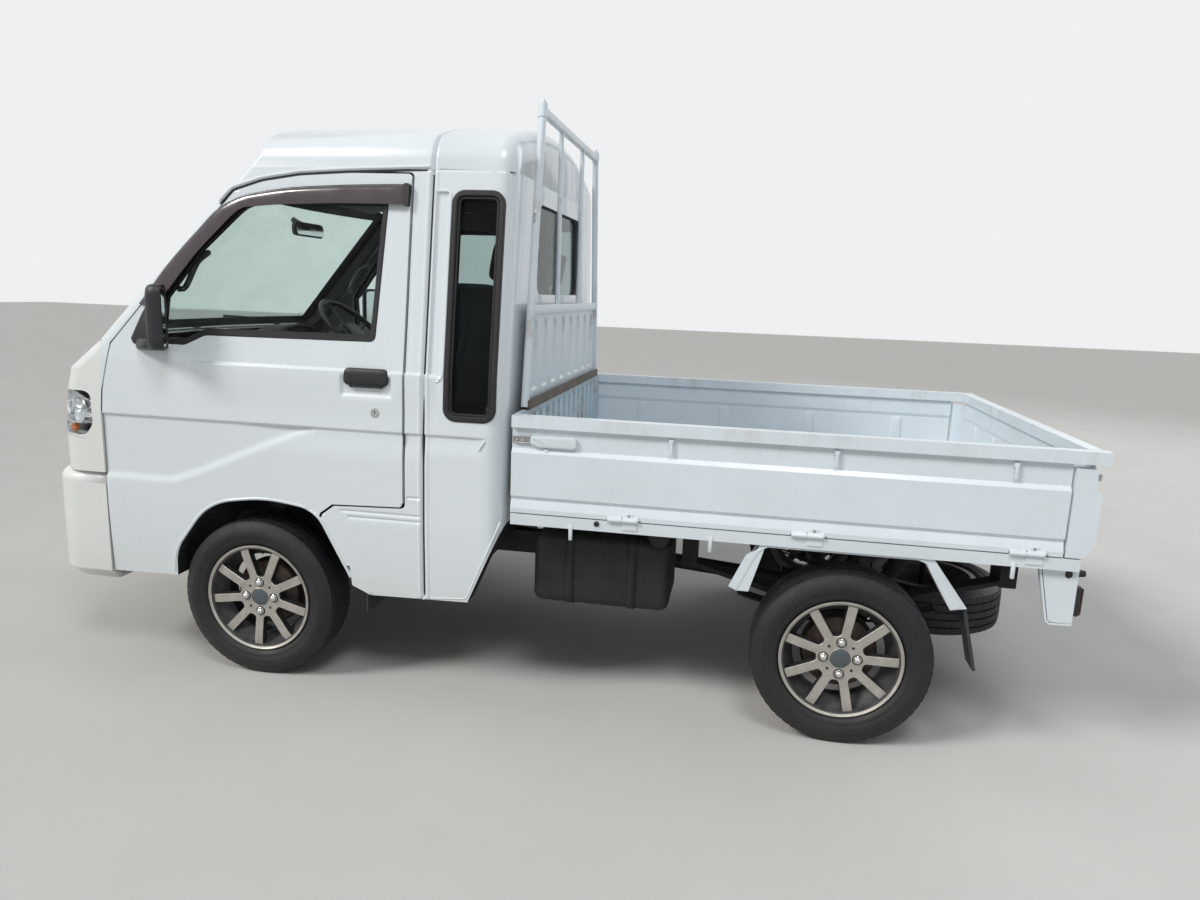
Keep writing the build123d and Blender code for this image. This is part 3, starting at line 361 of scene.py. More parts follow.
def side_y(z):
    """Half width of the cab at a height, in millimetres."""
    for (z0, w0), (z1, w1) in zip(side_section, side_section[1:]):
        if z <= z1:
            return w0 + (w1 - w0) * (z - z0) / (z1 - z0)
    return side_section[-1][1]


def on_side(x, z, sign, lift=0.0):
    """Point and outward normal on the cab's side, from the cab's section table."""
    slope = (side_y(z + 5) - side_y(z - 5)) / 10
    normal = Vector((0, sign, -slope)).normalized()
    return at(x, sign * side_y(z), z) + normal * lift / 1000, normal


def side_strip(bm, outline, sign, profile, closed=True, lift=0.0, index=0):
    """Profile carried along a side-view line that lies on the cab's side."""
    pairs = [on_side(p.x, p.y, sign, lift) for p in outline]
    sweep(bm, [p for p, _ in pairs], [n for _, n in pairs], profile, closed, index)


# Materials


def noise_node(tree, coords, scale, detail=4.0, rough=0.6, stretch=(1, 1, 1)):
    """Noise texture on object coordinates."""
    mapping = tree.nodes.new("ShaderNodeMapping")
    mapping.inputs["Scale"].default_value = stretch
    tree.links.new(coords.outputs["Object"], mapping.inputs["Vector"])
    noise = tree.nodes.new("ShaderNodeTexNoise")
    noise.inputs["Scale"].default_value = scale
    noise.inputs["Detail"].default_value = detail
    noise.inputs["Roughness"].default_value = rough
    tree.links.new(mapping.outputs["Vector"], noise.inputs["Vector"])
    return noise.outputs["Fac"]


def ranged(tree, value, low, high, to_low=0.0, to_high=1.0):
    """Value carried from one range to another and held inside it."""
    node = tree.nodes.new("ShaderNodeMapRange")
    for name, number in zip(("From Min", "From Max", "To Min", "To Max"), (low, high, to_low, to_high)):
        node.inputs[name].default_value = number
    tree.links.new(value, node.inputs["Value"])
    return node.outputs["Result"]


def times(tree, a, b):
    """Product of two values."""
    node = tree.nodes.new("ShaderNodeMath")
    node.operation = "MULTIPLY"
    tree.links.new(a, node.inputs[0])
    if isinstance(b, (int, float)):
        node.inputs[1].default_value = b
    else:
        tree.links.new(b, node.inputs[1])
    return node.outputs["Value"]


def mixed(tree, factor, a, b):
    """Colour a towards colour b."""
    node = tree.nodes.new("ShaderNodeMix")
    node.data_type = "RGBA"
    tree.links.new(factor, node.inputs["Factor"])
    for value, socket in ((a, node.inputs["A"]), (b, node.inputs["B"])):
        if isinstance(value, (tuple, list)):
            socket.default_value = (*value, 1)
        else:
            tree.links.new(value, socket)
    return node.outputs["Result"]


def shade(colour, amount):
    """Colour made lighter or darker."""
    return tuple(max(0.0, min(1.0, c * amount)) for c in colour)


def make_material(
    name,
    colour,
    rough=0.4,
    metal=0.0,
    coat=0.0,
    vary=0.06,
    vary_scale=6.0,
    rough_vary=0.08,
    bump=0.0,
    bump_scale=400.0,
    stretch=(1, 1, 1),
    dirt=None,
    dirt_z=(0.25, 0.75),
    dirt_amount=0.5,
    rust=0.0,
    rust_z=None,
    sheen=0.0,
    specular=0.5,
):
    """Procedural material: varied colour and roughness, bump, dirt low down and rust in patches."""
    material = bpy.data.materials.new(name)
    material.use_nodes = True
    tree = material.node_tree
    shader = tree.nodes["Principled BSDF"]
    shader.inputs["Metallic"].default_value = metal
    shader.inputs["Coat Weight"].default_value = coat
    shader.inputs["Coat Roughness"].default_value = 0.08
    shader.inputs["Specular IOR Level"].default_value = specular
    shader.inputs["Sheen Weight"].default_value = sheen
    coords = tree.nodes.new("ShaderNodeTexCoord")
    spots = noise_node(tree, coords, vary_scale, stretch=stretch)
    result = mixed(tree, ranged(tree, spots, 0.3, 0.7), shade(colour, 1 - vary), shade(colour, 1 + vary))
    separate = tree.nodes.new("ShaderNodeSeparateXYZ")
    tree.links.new(coords.outputs["Object"], separate.inputs["Vector"])
    height = separate.outputs["Z"]
    if dirt:
        low = ranged(tree, height, dirt_z[1], dirt_z[0])
        patches = ranged(tree, noise_node(tree, coords, 9.0, 6.0), 0.25, 0.75, 0.25, 1.0)
        result = mixed(tree, times(tree, times(tree, low, patches), dirt_amount), result, dirt)
    if rust:
        patches = ranged(tree, noise_node(tree, coords, 7.0, 8.0, 0.7), 0.62 - 0.14 * rust, 0.74 - 0.1 * rust)
        if rust_z:
            streak = ranged(tree, noise_node(tree, coords, 16.0, 5.0, 0.7, (1, 1, 0.12)), 0.45, 0.62)
            band = times(tree, ranged(tree, height, rust_z[0], rust_z[1]), streak)
            patches = times(tree, band, ranged(tree, noise_node(tree, coords, 3.0), 0.42, 0.6))
        tone = mixed(tree, noise_node(tree, coords, 60.0), (0.16, 0.055, 0.02), (0.36, 0.17, 0.07))
        result = mixed(tree, times(tree, patches, rust), result, tone)
    tree.links.new(result, shader.inputs["Base Color"])
    smear = noise_node(tree, coords, vary_scale * 2.3)
    low_rough, high_rough = max(0.02, rough - rough_vary), min(1.0, rough + rough_vary)
    tree.links.new(ranged(tree, smear, 0.3, 0.7, low_rough, high_rough), shader.inputs["Roughness"])
    if bump:
        node = tree.nodes.new("ShaderNodeBump")
        node.inputs["Strength"].default_value = min(1.0, bump * 1000 / 0.4)
        node.inputs["Distance"].default_value = bump
        tree.links.new(noise_node(tree, coords, bump_scale, stretch=stretch), node.inputs["Height"])
        tree.links.new(node.outputs["Normal"], shader.inputs["Normal"])
    return material


def glass_material(name, colour):
    """Tinted glass with faint dust."""
    material = make_material(name, colour, 0.02, vary=0.03, rough_vary=0.015)
    shader = material.node_tree.nodes["Principled BSDF"]
    shader.inputs["Transmission Weight"].default_value = 1.0
    shader.inputs["IOR"].default_value = 1.15
    return material


dust = (0.42, 0.38, 0.32)
soot = (0.16, 0.14, 0.12)
body_paint = make_material(
    "body_paint", (0.70, 0.75, 0.78), 0.26, coat=0.5, vary=0.012, vary_scale=1.6, dirt=dust, dirt_amount=0.3,
    dirt_z=(0.28, 0.5), bump=0.00004, bump_scale=40,
)
bed_paint = make_material(
    "bed_paint", (0.68, 0.745, 0.79), 0.33, coat=0.25, vary=0.035, vary_scale=5.0, dirt=dust,
    dirt_amount=0.2, dirt_z=(0.6, 0.68), rust=0.25, rust_z=(0.86, 0.95), bump=0.00006, bump_scale=90,
)
bed_inside = make_material(
    "bed_inside", (0.46, 0.56, 0.61), 0.5, vary=0.09, vary_scale=7.0, dirt=(0.34, 0.33, 0.29),
    dirt_amount=0.5, dirt_z=(0.64, 0.75), rust=0.75, bump=0.00015, bump_scale=120,
)
guard_paint = make_material(
    "guard_paint", (0.66, 0.72, 0.76), 0.4, coat=0.15, vary=0.05, rust=0.35, bump=0.0001, bump_scale=150,
)
front_plastic = make_material(
    "front_plastic", (0.74, 0.755, 0.73), 0.32, coat=0.3, vary=0.02, vary_scale=4.0, dirt=dust,
    dirt_amount=0.3, dirt_z=(0.28, 0.5), bump=0.00005, bump_scale=300,
)
black_trim = make_material(
    "black_trim", (0.012, 0.013, 0.015), 0.45, vary=0.25, vary_scale=40, bump=0.00012, bump_scale=900,
)
rubber = make_material("rubber", (0.007, 0.007, 0.008), 0.5, vary=0.3, vary_scale=25, bump=0.00006)
cab_plastic = make_material(
    "cab_plastic", (0.035, 0.036, 0.039), 0.62, vary=0.15, vary_scale=30, bump=0.0002, bump_scale=1100,
)
trim_grey = make_material(
    "trim_grey", (0.17, 0.175, 0.18), 0.6, vary=0.1, vary_scale=20, bump=0.0002, bump_scale=900,
)
headliner = make_material(
    "headliner", (0.42, 0.42, 0.4), 0.85, vary=0.05, vary_scale=60, bump=0.0003, bump_scale=700,
)
seat_fabric = make_material(
    "seat_fabric", (0.05, 0.052, 0.058), 0.85, vary=0.25, vary_scale=350, bump=0.0004, bump_scale=1400,
    sheen=0.3,
)
chassis_black = make_material(
    "chassis_black", (0.013, 0.013, 0.014), 0.6, vary=0.35, vary_scale=14, dirt=(0.05, 0.042, 0.035),
    dirt_z=(0.1, 0.8), dirt_amount=0.4, rust=0.15, bump=0.0004, bump_scale=160, specular=0.3,
)
engine_iron = make_material(
    "engine_iron", (0.035, 0.034, 0.033), 0.6, metal=0.3, vary=0.3, vary_scale=18, rust=0.3, bump=0.0005,
    bump_scale=140,
)
rusty_steel = make_material(
    "rusty_steel", (0.10, 0.08, 0.065), 0.6, metal=0.5, vary=0.3, vary_scale=20, rust=0.7, bump=0.0004,
    bump_scale=200,
)
spare_steel = make_material(
    "spare_steel", (0.1, 0.1, 0.1), 0.5, metal=0.4, vary=0.2, vary_scale=16, dirt=soot, dirt_z=(0.1, 0.6),
    rust=0.4, bump=0.0002,
)
tyre_rubber = make_material(
    "tyre_rubber", (0.011, 0.012, 0.014), 0.6, vary=0.3, vary_scale=12, dirt=(0.09, 0.075, 0.06),
    dirt_z=(0.0, 0.5), dirt_amount=0.16, bump=0.0003, bump_scale=500, specular=0.4,
)
alloy = make_material(
    "alloy", (0.45, 0.43, 0.39), 0.42, metal=0.7, vary=0.14, vary_scale=30, rough_vary=0.12,
    bump=0.00008, bump_scale=700,
)
alloy_dark = make_material(
    "alloy_dark", (0.035, 0.035, 0.037), 0.45, metal=0.4, vary=0.3, vary_scale=30, bump=0.0001,
)
barrel_grey = make_material(
    "barrel_grey", (0.1, 0.1, 0.1), 0.5, metal=0.6, vary=0.3, vary_scale=20, rust=0.15, bump=0.0001,
)
cap_grey = make_material("cap_grey", (0.11, 0.13, 0.145), 0.35, metal=0.6, vary=0.15, vary_scale=60)
underseal = make_material(
    "underseal", (0.012, 0.012, 0.013), 0.8, vary=0.4, vary_scale=12, bump=0.0006, bump_scale=180,
    specular=0.25,
)
pillar_trim = make_material(
    "pillar_trim", (0.12, 0.125, 0.13), 0.65, vary=0.12, vary_scale=20, bump=0.0002, bump_scale=900,
)
chrome = make_material("chrome", (0.62, 0.62, 0.61), 0.14, metal=1.0, vary=0.06, vary_scale=40)
worn_steel = make_material(
    "worn_steel", (0.42, 0.43, 0.43), 0.4, metal=0.9, vary=0.15, vary_scale=30, rust=0.35,
)
flap_rubber = make_material(
    "flap_rubber", (0.022, 0.025, 0.028), 0.6, vary=0.2, vary_scale=10, dirt=(0.07, 0.07, 0.07),
    dirt_z=(0.2, 0.5), dirt_amount=0.4, bump=0.0003, bump_scale=250,
)
reflector = make_material("reflector", (0.8, 0.81, 0.82), 0.16, metal=1.0, vary=0.05, vary_scale=50)
lamp_silver = make_material("lamp_silver", (0.62, 0.64, 0.66), 0.36, metal=0.45, vary=0.05, vary_scale=50)
lens_clear = glass_material("lens_clear", (0.93, 0.95, 0.95))
lens_red = make_material("lens_red", (0.42, 0.015, 0.012), 0.12, coat=0.8, vary=0.12, vary_scale=90)
lens_orange = make_material("lens_orange", (0.75, 0.2, 0.02), 0.12, coat=0.8, vary=0.1, vary_scale=90)
window_glass = glass_material("window_glass", (0.76, 0.84, 0.815))
dark_glass = glass_material("dark_glass", (0.42, 0.5, 0.49))
mirror_glass = make_material("mirror_glass", (0.75, 0.78, 0.8), 0.04, metal=1.0, vary=0.02)
smoke = make_material(
    "smoke", (0.045, 0.03, 0.04), 0.18, coat=0.6, vary=0.12, vary_scale=8, bump=0.00003, bump_scale=60,
)
plate_metal = make_material("plate_metal", (0.62, 0.58, 0.22), 0.42, vary=0.05, vary_scale=30, bump=0.0001)

# Finish of each CAD node that stays shown
node_finish = {
    "cab_body": body_paint, "roof": body_paint, "front_panel": front_plastic, "bumper": front_plastic,
    "headlamps": lens_clear, "windscreen": window_glass, "cab_glass": dark_glass,
    "dashboard": cab_plastic, "seats": seat_fabric, "steering_column": cab_plastic,
    "wipers": black_trim, "frame": chassis_black, "engine": engine_iron, "fuel_tank": chassis_black,
    "exhaust": rusty_steel, "rear_axle": chassis_black, "rear_springs": chassis_black,
    "front_suspension": chassis_black, "spare_rim": spare_steel, "spare_tyre": tyre_rubber,
    "bed_floor": bed_paint, "headboard": bed_inside, "guard_frame": guard_paint,
    "rear_fenders": bed_paint, "mud_flaps": flap_rubber, "lamp_brackets": body_paint,
    "tail_lamps": lens_red, "steering_wheel": black_trim, "tailgate": bed_paint,
}
for side_name, _ in sides:
    node_finish[f"door_{side_name}"] = body_paint
    node_finish[f"door_glass_{side_name}"] = window_glass
    node_finish[f"mirror_{side_name}"] = black_trim
    node_finish[f"knuckle_{side_name}"] = chassis_black
    node_finish[f"gate_{side_name}"] = bed_paint
    for axle_name in ("front", "rear"):
        node_finish[f"rim_{axle_name}_{side_name}"] = alloy
        node_finish[f"tyre_{axle_name}_{side_name}"] = tyre_rubber
for name, obj in nodes.items():
    obj.data.materials.clear()
    obj.data.materials.append(node_finish[name])

# Camera


def make_camera():
    """Camera at the photographer's place and angle."""
    yaw, pitch, roll = radians(9.49908), radians(-10.60585), radians(2.18149)
    focal, photo_width = 839.642, 1200
    ahead = Vector((cos(pitch) * sin(yaw), -cos(pitch) * cos(yaw), sin(pitch)))
    right = ahead.cross(Vector((0, 0, 1))).normalized()
    up = right.cross(ahead)
    right, up = right * cos(roll) + up * sin(roll), up * cos(roll) - right * sin(roll)
    data = bpy.data.cameras.new("camera")
    data.lens = data.sensor_width * focal / photo_width
    camera = bpy.data.objects.new("camera", data)
    collection.objects.link(camera)
    turn = Matrix((right, up, -ahead)).transposed().to_4x4()
    camera.matrix_world = Matrix.Translation(at(-1556.73, 3162.49, 1321.68)) @ turn
    bpy.context.scene.camera = camera


def make_stage():
    """Pale floor and soft light."""
    floor_material = make_material("floor_grey", (0.56, 0.55, 0.53), 0.8, vary=0.03, vary_scale=1.5)
    bm = bmesh.new()
    bmesh.ops.create_grid(bm, x_segments=1, y_segments=1, size=30)
    mesh = bpy.data.meshes.new("floor")
    bm.to_mesh(mesh)
    bm.free()
    mesh.materials.append(floor_material)
    floor = bpy.data.objects.new("floor", mesh)
    collection.objects.link(floor)
    world = bpy.data.worlds.new("world")
    bpy.context.scene.world = world
    world.use_nodes = True
    tree = world.node_tree
    background = tree.nodes["Background"]
    background.inputs["Color"].default_value = (0.9, 0.95, 1.0, 1)
    background.inputs["Strength"].default_value = 0.34
    seen = tree.nodes.new("ShaderNodeBackground")
    seen.inputs["Color"].default_value = (0.86, 0.87, 0.88, 1)
    path = tree.nodes.new("ShaderNodeLightPath")
    mix = tree.nodes.new("ShaderNodeMixShader")
    seen_by = path.outputs["Is Camera Ray"]
    for kind in ("Is Glossy Ray", "Is Transmission Ray"):
        either = tree.nodes.new("ShaderNodeMath")
        either.operation = "MAXIMUM"
        tree.links.new(seen_by, either.inputs[0])
        tree.links.new(path.outputs[kind], either.inputs[1])
        seen_by = either.outputs["Value"]
    tree.links.new(seen_by, mix.inputs[0])
    tree.links.new(background.outputs[0], mix.inputs[1])
    tree.links.new(seen.outputs[0], mix.inputs[2])
    tree.links.new(mix.outputs[0], tree.nodes["World Output"].inputs["Surface"])
    # Lamps: name, kind, place, aim, size or angle, power, colour
    lamps = [
        ("key", "SUN", (5.5, 4.0, 6.5), (0, 0, 0.9), 0.30, 2.0, (1.0, 0.97, 0.92)),
        ("over", "AREA", (-1.5, 4.6, 6.6), (0, 0.3, 0.8), 2.2, 165, (0.95, 0.97, 1.0)),
        ("rear", "AREA", (-6.0, -5.5, 5.5), (0, 0, 0.8), 5.0, 155, (0.95, 0.97, 1.0)),
    ]
    for name, kind, place, aim, size, power, colour in lamps:
        data = bpy.data.lights.new(name, kind)
        if kind == "SUN":
            data.angle = size
        else:
            data.size = size
        data.energy = power
        data.color = colour
        lamp = bpy.data.objects.new(name, data)
        collection.objects.link(lamp)
        place = Vector(place)
        turn = (place - Vector(aim)).to_track_quat("Z", "Y").to_matrix().to_4x4()
        lamp.matrix_world = Matrix.Translation(place) @ turn
    bpy.context.scene.view_settings.view_transform = "Standard"


# Wheels


def tyre_mesh(bm, centre):
    """Tyre with ribbed tread, cut shoulders and stepped side walls."""
    steps = 240
    side = [
        (184.5, 63.0), (190, 70), (197, 75), (203, 78), (206, 77.4), (210, 79.5), (219, 82.4),
        (228, 82.2), (229, 81.2), (231, 81.2), (232, 81.8), (240, 79.5), (248, 76), (256, 71), (263, 66.5),
    ]
    tread = [66.0, 60, 54, 48, 45.5, 45, 39, 38.5, 33, 24, 17.5, 17, 10.5, 10, 4]
    profile = [(r, y, False) for r, y in side]
    profile += [(270 - 4.5 * (y / 66) ** 4, y, True) for y in tread]
    profile += [(r, -y, t) for r, y, t in reversed(profile)]
    inner = [(r, -y, False) for r, y in ((184, 60.0), (182.6, 60), (176, 55), (196, 50), (250, 55))]
    inner += [(r, -y, t) for r, y, t in reversed(inner)]
    rings = []
    for r, y, is_tread in profile + inner:
        ring = []
        for i in range(steps):
            radius = r
            if is_tread:
                # Grooves round the tyre, cuts across its shoulders and slits between the grooves
                in_groove = 38.7 < abs(y) < 45.3 or 10.2 < abs(y) < 17.3
                cut = abs(y) > 45.4 and i % 4 == 0
                slit = 17.4 < abs(y) < 38.6 and (i + (3 if y > 0 else 0)) % 8 == 0
                radius -= 6.5 if in_groove else 1.6 if cut else 2.2 if slit else 0
            a = 2 * pi * (i + (0.5 if y > 0 else 0)) / steps
            ring.append(centre + Vector((radius * cos(a), y, radius * sin(a))) / 1000)
        rings.append(ring)
    bridge(bm, rings, loop=True)


def wheel_outline():
    """Front-view outline of the wheel's face: hub with nine straight spokes, from its centre."""
    points, radii = [], []
    spokes = 9
    for index in range(spokes):
        a = 2 * pi * index / spokes
        along, across = Vector((cos(a), sin(a))), Vector((-sin(a), cos(a)))
        after = a + 2 * pi / spokes
        next_along, next_across = Vector((cos(after), sin(after))), Vector((-sin(after), cos(after)))
        points += [along * 171.5 - across * 14.5, along * 171.5 + across * 14.5]
        points += [along * 70 + across * 13.6, next_along * 70 - next_across * 13.6]
        radii += [0, 0, 11, 11]
    return rounded(points, radii, 12)


def within(p, outline):
    """True for a flat point inside a closed outline."""
    crossed = False
    for a, b in zip(outline, outline[1:] + outline[:1]):
        if (a.y > p.y) != (b.y > p.y) and p.x < a.x + (p.y - a.y) * (b.x - a.x) / (b.y - a.y):
            crossed = not crossed
    return crossed


def face_height(p):
    """Height of the wheel's face over its middle plane, in millimetres."""
    return 56.2 + 6.8 * smooth(40, 175, p.length) - 2.6 * smooth(150, 172, p.length)


def rim_parts(bm, first_angle):
    """Nine-spoke rim about the origin, outer face towards +Y, in metres."""
    lip = [
        (182.5, 71), (180, 71.6), (177, 69.5), (173.5, 68), (171.5, 62), (168, 56), (164, 42), (150, 20),
        (139, 10), (139, -14), (158, -40), (160, -66), (182.5, -71), (182.5, -63), (169, -63), (165, -45),
        (139.5, -19), (139.5, 13), (165, 45), (169, 63), (182.5, 63),
    ]
    lathe(bm, metres(lip), Vector(), 120, 4)
    for face in bm.faces:
        middle = face.calc_center_median()
        if middle.y > 0.0665 and hypot(middle.x, middle.z) > 0.1725:
            face.material_index = 0
    turn = Matrix.Rotation(radians(first_angle), 2)
    outline = [turn @ p for p in wheel_outline()]
    # Machined face: the outline filled, with rows of points that give it its dish
    inner = grown(outline, -1.0)
    flat, lines = list(inner), [(i, (i + 1) % len(inner)) for i in range(len(inner))]
    count = 72
    for radius in (15, 30, 45, 58, 70, 85, 100, 115, 130, 145, 158):
        first = len(flat)
        flat += [
            Vector((radius * cos(2 * pi * k / count), radius * sin(2 * pi * k / count)))
            for k in range(count)
        ]
        lines += [(first + k, first + (k + 1) % count) for k in range(count)]
    points, _, cells, _, _, _ = delaunay_2d_cdt(flat, lines, [], 0, 1e-6)
    cells = [c for c in cells if within(sum((points[i] for i in c), Vector((0, 0))) / 3, inner)]
    verts = {}
    for i in (i for cell in cells for i in cell):
        if i not in verts:
            p = points[i]
            verts[i] = bm.verts.new(Vector((p.x, face_height(p), p.y)) / 1000)
    for cell in cells:
        bm.faces.new([verts[i] for i in cell]).material_index = 0
    rings = []
    for line, drop in ((inner, 0.0), (outline, 1.2), (outline, 16), (grown(outline, 1.5), 24)):
        rings.append([Vector((p.x, face_height(p) - drop, p.y)) / 1000 for p in line])
    made = bridge(bm, rings, index=1)
    for face in {f for v in made[0] for f in v.link_faces}:
        if any(v in made[1] for v in face.verts):
            face.material_index = 0
    # Disc behind the spokes, cap, ring round the cap and brake drum: profile, steps, material
    turned = [
        ([(0.01, 33), (66, 33), (74, 38), (74, 50), (0.01, 50)], 72, 1),
        ([(0.01, 61.5), (14, 61.2), (24, 60.2), (28.6, 58.4), (29.6, 56.2), (29.6, 50), (0.01, 50)], 64, 5),
        ([(0.01, -47), (104, -47), (113, -42), (115, -38), (115, -10), (108, 2), (80, 10), (60, 16),
          (0.01, 16)], 72, 3),
    ]
    for profile, steps, index in turned:
        lathe(bm, metres(profile), Vector(), steps, index, closed=False)
    ring = [(31.6, 55), (31.6, 57.6), (30.4, 58.4), (29.8, 57.6), (29.8, 54)]
    lathe(bm, metres(ring), Vector(), 64, 0)
    # Round the cap: a well and a nut for each stud, and a hole between each two
    well = [(0.01, 57.2), (14.4, 57.2), (15.6, 57.6), (16.2, 56.4), (16.2, 50), (0.01, 50)]
    nut = [
        (0.01, 70), (6.0, 69.2), (9.6, 66.4), (11.2, 62.5), (11.4, 59.5), (12.6, 58.6), (12.6, 57),
        (0.01, 57),
    ]
    dot = [(0.01, 57.3), (3.4, 57.3), (4.4, 57.1), (4.4, 52), (0.01, 52)]
    studs, pitch_radius = 4, 0.05
    for index in range(studs):
        a = 2 * pi * index / studs
        place = Vector((cos(a), 0, sin(a))) * pitch_radius
        lathe(bm, metres(well), place, 32, 1, closed=False)
        lathe(bm, metres(nut), place, 28, 2, closed=False)
        a += pi / studs
        lathe(bm, metres(dot), Vector((cos(a), 0, sin(a))) * pitch_radius, 16, 1, closed=False)
    valve = radians(first_angle + 20)
    place = Vector((cos(valve), 0, sin(valve))) * 0.150
    tube(bm, [place + Vector((0, 0.018, 0)), place + Vector((0, 0.052, 0))], 0.003, 10, index=2)


def make_wheels():
    """Tyres and rims at the four corners, and the spare."""
    # Axle: name, place along the truck, half track, angle of the first spoke in degrees
    axles = (("front", axle_x, 0.640, 73), ("rear", axle_x - wheelbase, 0.648, 98))
    for axle_name, x, y, first_angle in axles:
        for side_name, sign in sides:
            body = f"wheel_{axle_name}_{side_name}"
            centre = Vector((x, sign * y, axle_z))
            bm = bmesh.new()
            tyre_mesh(bm, centre)
            tyre = finish_mesh(f"tyre_{axle_name}_{side_name}_made", body, bm, tyre_rubber, 40)
            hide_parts(f"tyre_{axle_name}_{side_name}")
            bm = bmesh.new()
            rim_parts(bm, first_angle)
            bmesh.ops.scale(bm, vec=(1, sign, 1), verts=bm.verts)
            bmesh.ops.translate(bm, vec=centre, verts=bm.verts)
            materials = [alloy, alloy_dark, chrome, rusty_steel, barrel_grey, cap_grey]
            rim = finish_mesh(f"rim_{axle_name}_{side_name}_made", body, bm, materials, 32)
            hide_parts(f"rim_{axle_name}_{side_name}")
    low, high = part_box("spare_tyre")
    centre = (low + high) / 2
    bm = bmesh.new()
    tyre_mesh(bm, Vector())
    bmesh.ops.rotate(bm, cent=(0, 0, 0), matrix=Matrix.Rotation(pi / 2, 3, "X"), verts=bm.verts)
    bmesh.ops.translate(bm, vec=centre, verts=bm.verts)
    spare = finish_mesh("spare_tyre_made", "chassis", bm, tyre_rubber, 40)
    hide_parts("spare_tyre")


# Cab panels


def inside(value, low, high, ramp):
    """1 between low and high, falling to 0 over a ramp at both ends."""
    return smooth(low, low + ramp, value) * (1 - smooth(high - ramp, high, value))


def read_line(line, x):
    """Height of a side-view line at a place along the truck."""
    for (x0, z0), (x1, z1) in zip(line, line[1:]):
        if x >= x1:
            return z0 + (z1 - z0) * (x - x0) / (x1 - x0)
    return line[-1][1]


# Fold over the front wheel arch: place along the truck, height
low_line = [(560, 661), (282, 661), (181, 697), (-38, 792), (-179, 850), (-230, 862)]
# Grooves behind the door: front end, rear end, height
short_grooves = [(-537, -585, 664), (-537, -585, 645), (-313, -585, 605), (-337, -585, 586)]
# Joint between the cab and its extension, and the heights of the crease under the waist
joint_x = -592
crease_low, crease_high = 863, 872


def notch(value, place, half):
    """1 at a place, falling straight to 0 on both sides."""
    return max(0.0, 1 - abs(value - place) / half)


def joint_folds(x):
    """Height of the folds on both sides of the joint, in millimetres."""
    return 2.2 * inside(x, -613, -598, 5) + 1.6 * inside(x, -586, -573, 5)


def side_depth(x, z):
    """How far the cab's side stands proud of its plain section, in millimetres."""
    low = read_line(low_line, x)
    below = smooth(crease_high, crease_low, z)
    shoulder = smooth(215, 150, x) if x > -560 else smooth(-640, -600, x)
    depth = 6.5 * smooth(1060, 1051, z) * (1 - smooth(1046, 900, z)) * shoulder
    if x > -240:
        depth -= 8.0 * below * (1 - smooth(low + 16, low - 14, z)) * smooth(-240, -200, x)
    if x > -598:
        depth -= 6.5 * below * (1 - smooth(crease_low, 770, z)) * smooth(60, -200, x)
    else:
        depth -= 6.5 * below * (1 - smooth(crease_low, 800, z)) * smooth(-800, -770, x)
        # Recess ahead of the quarter window
        depth -= 6.5 * inside(x, -646, -604, 6) * inside(z, 1045, 1606, 9)
    depth -= 13 * notch(x, joint_x, 7) * smooth(330, 345, z)
    depth += joint_folds(x)
    # Recess of the door handle, and the door's shut line
    depth -= 7 * inside(x, -492, -318, 10) * inside(z, 972, 1046, 14)
    depth -= 1.2 * notch(x, -540, 3) * inside(z, 1050, 1600, 10)
    for front, rear, height in short_grooves:
        depth -= 4.5 * notch(z, height, 5.5) * inside(x, rear, front, 5)
    # Rear corner behind the quarter window
    if x < -815 and z > 985:
        under_roof = 1 - smooth(1740, 1790, z + (x + 868) * 0.6)
        depth -= 7 * smooth(-824, -838, x) * smooth(985, 1020, z) * under_roof
    return depth


def marks(start, stop, step, fine):
    """Places from start to stop, closer together inside the fine ranges (low, high, step)."""
    places = []
    place = start
    while place < stop:
        places.append(place)
        near = [s for low, high, s in fine if low <= place < high]
        place += min(near) if near else step
    return places


column_marks = marks(-865.6, 524, 12, [
    (-868, -804, 5), (-655, -570, 2.5), (-545, -535, 2.5), (-500, -310, 5), (-345, -300, 4),
    (-600, -585, 1.75),
])
row_marks = marks(326.7, 1900, 12, [
    (575, 612, 2.75), (640, 670, 2.75), (670, 860, 7), (856, 876, 2), (966, 1072, 4.5), (1044, 1062, 2),
    (1594, 1610, 3),
])


def is_side(face, sign, front_end):
    """True for an outer face on one side of the cab, behind a place along the truck."""
    middle = face.calc_center_median()
    away = side_y(middle.z * 1000) - abs(middle.y) * 1000
    outer = middle.z > 1 or abs(middle.y) > 0.705
    turned = face.normal.y * sign > 0.55 and middle.y * sign > 0
    return turned and away < 30 and outer and middle.x < axle_x + front_end


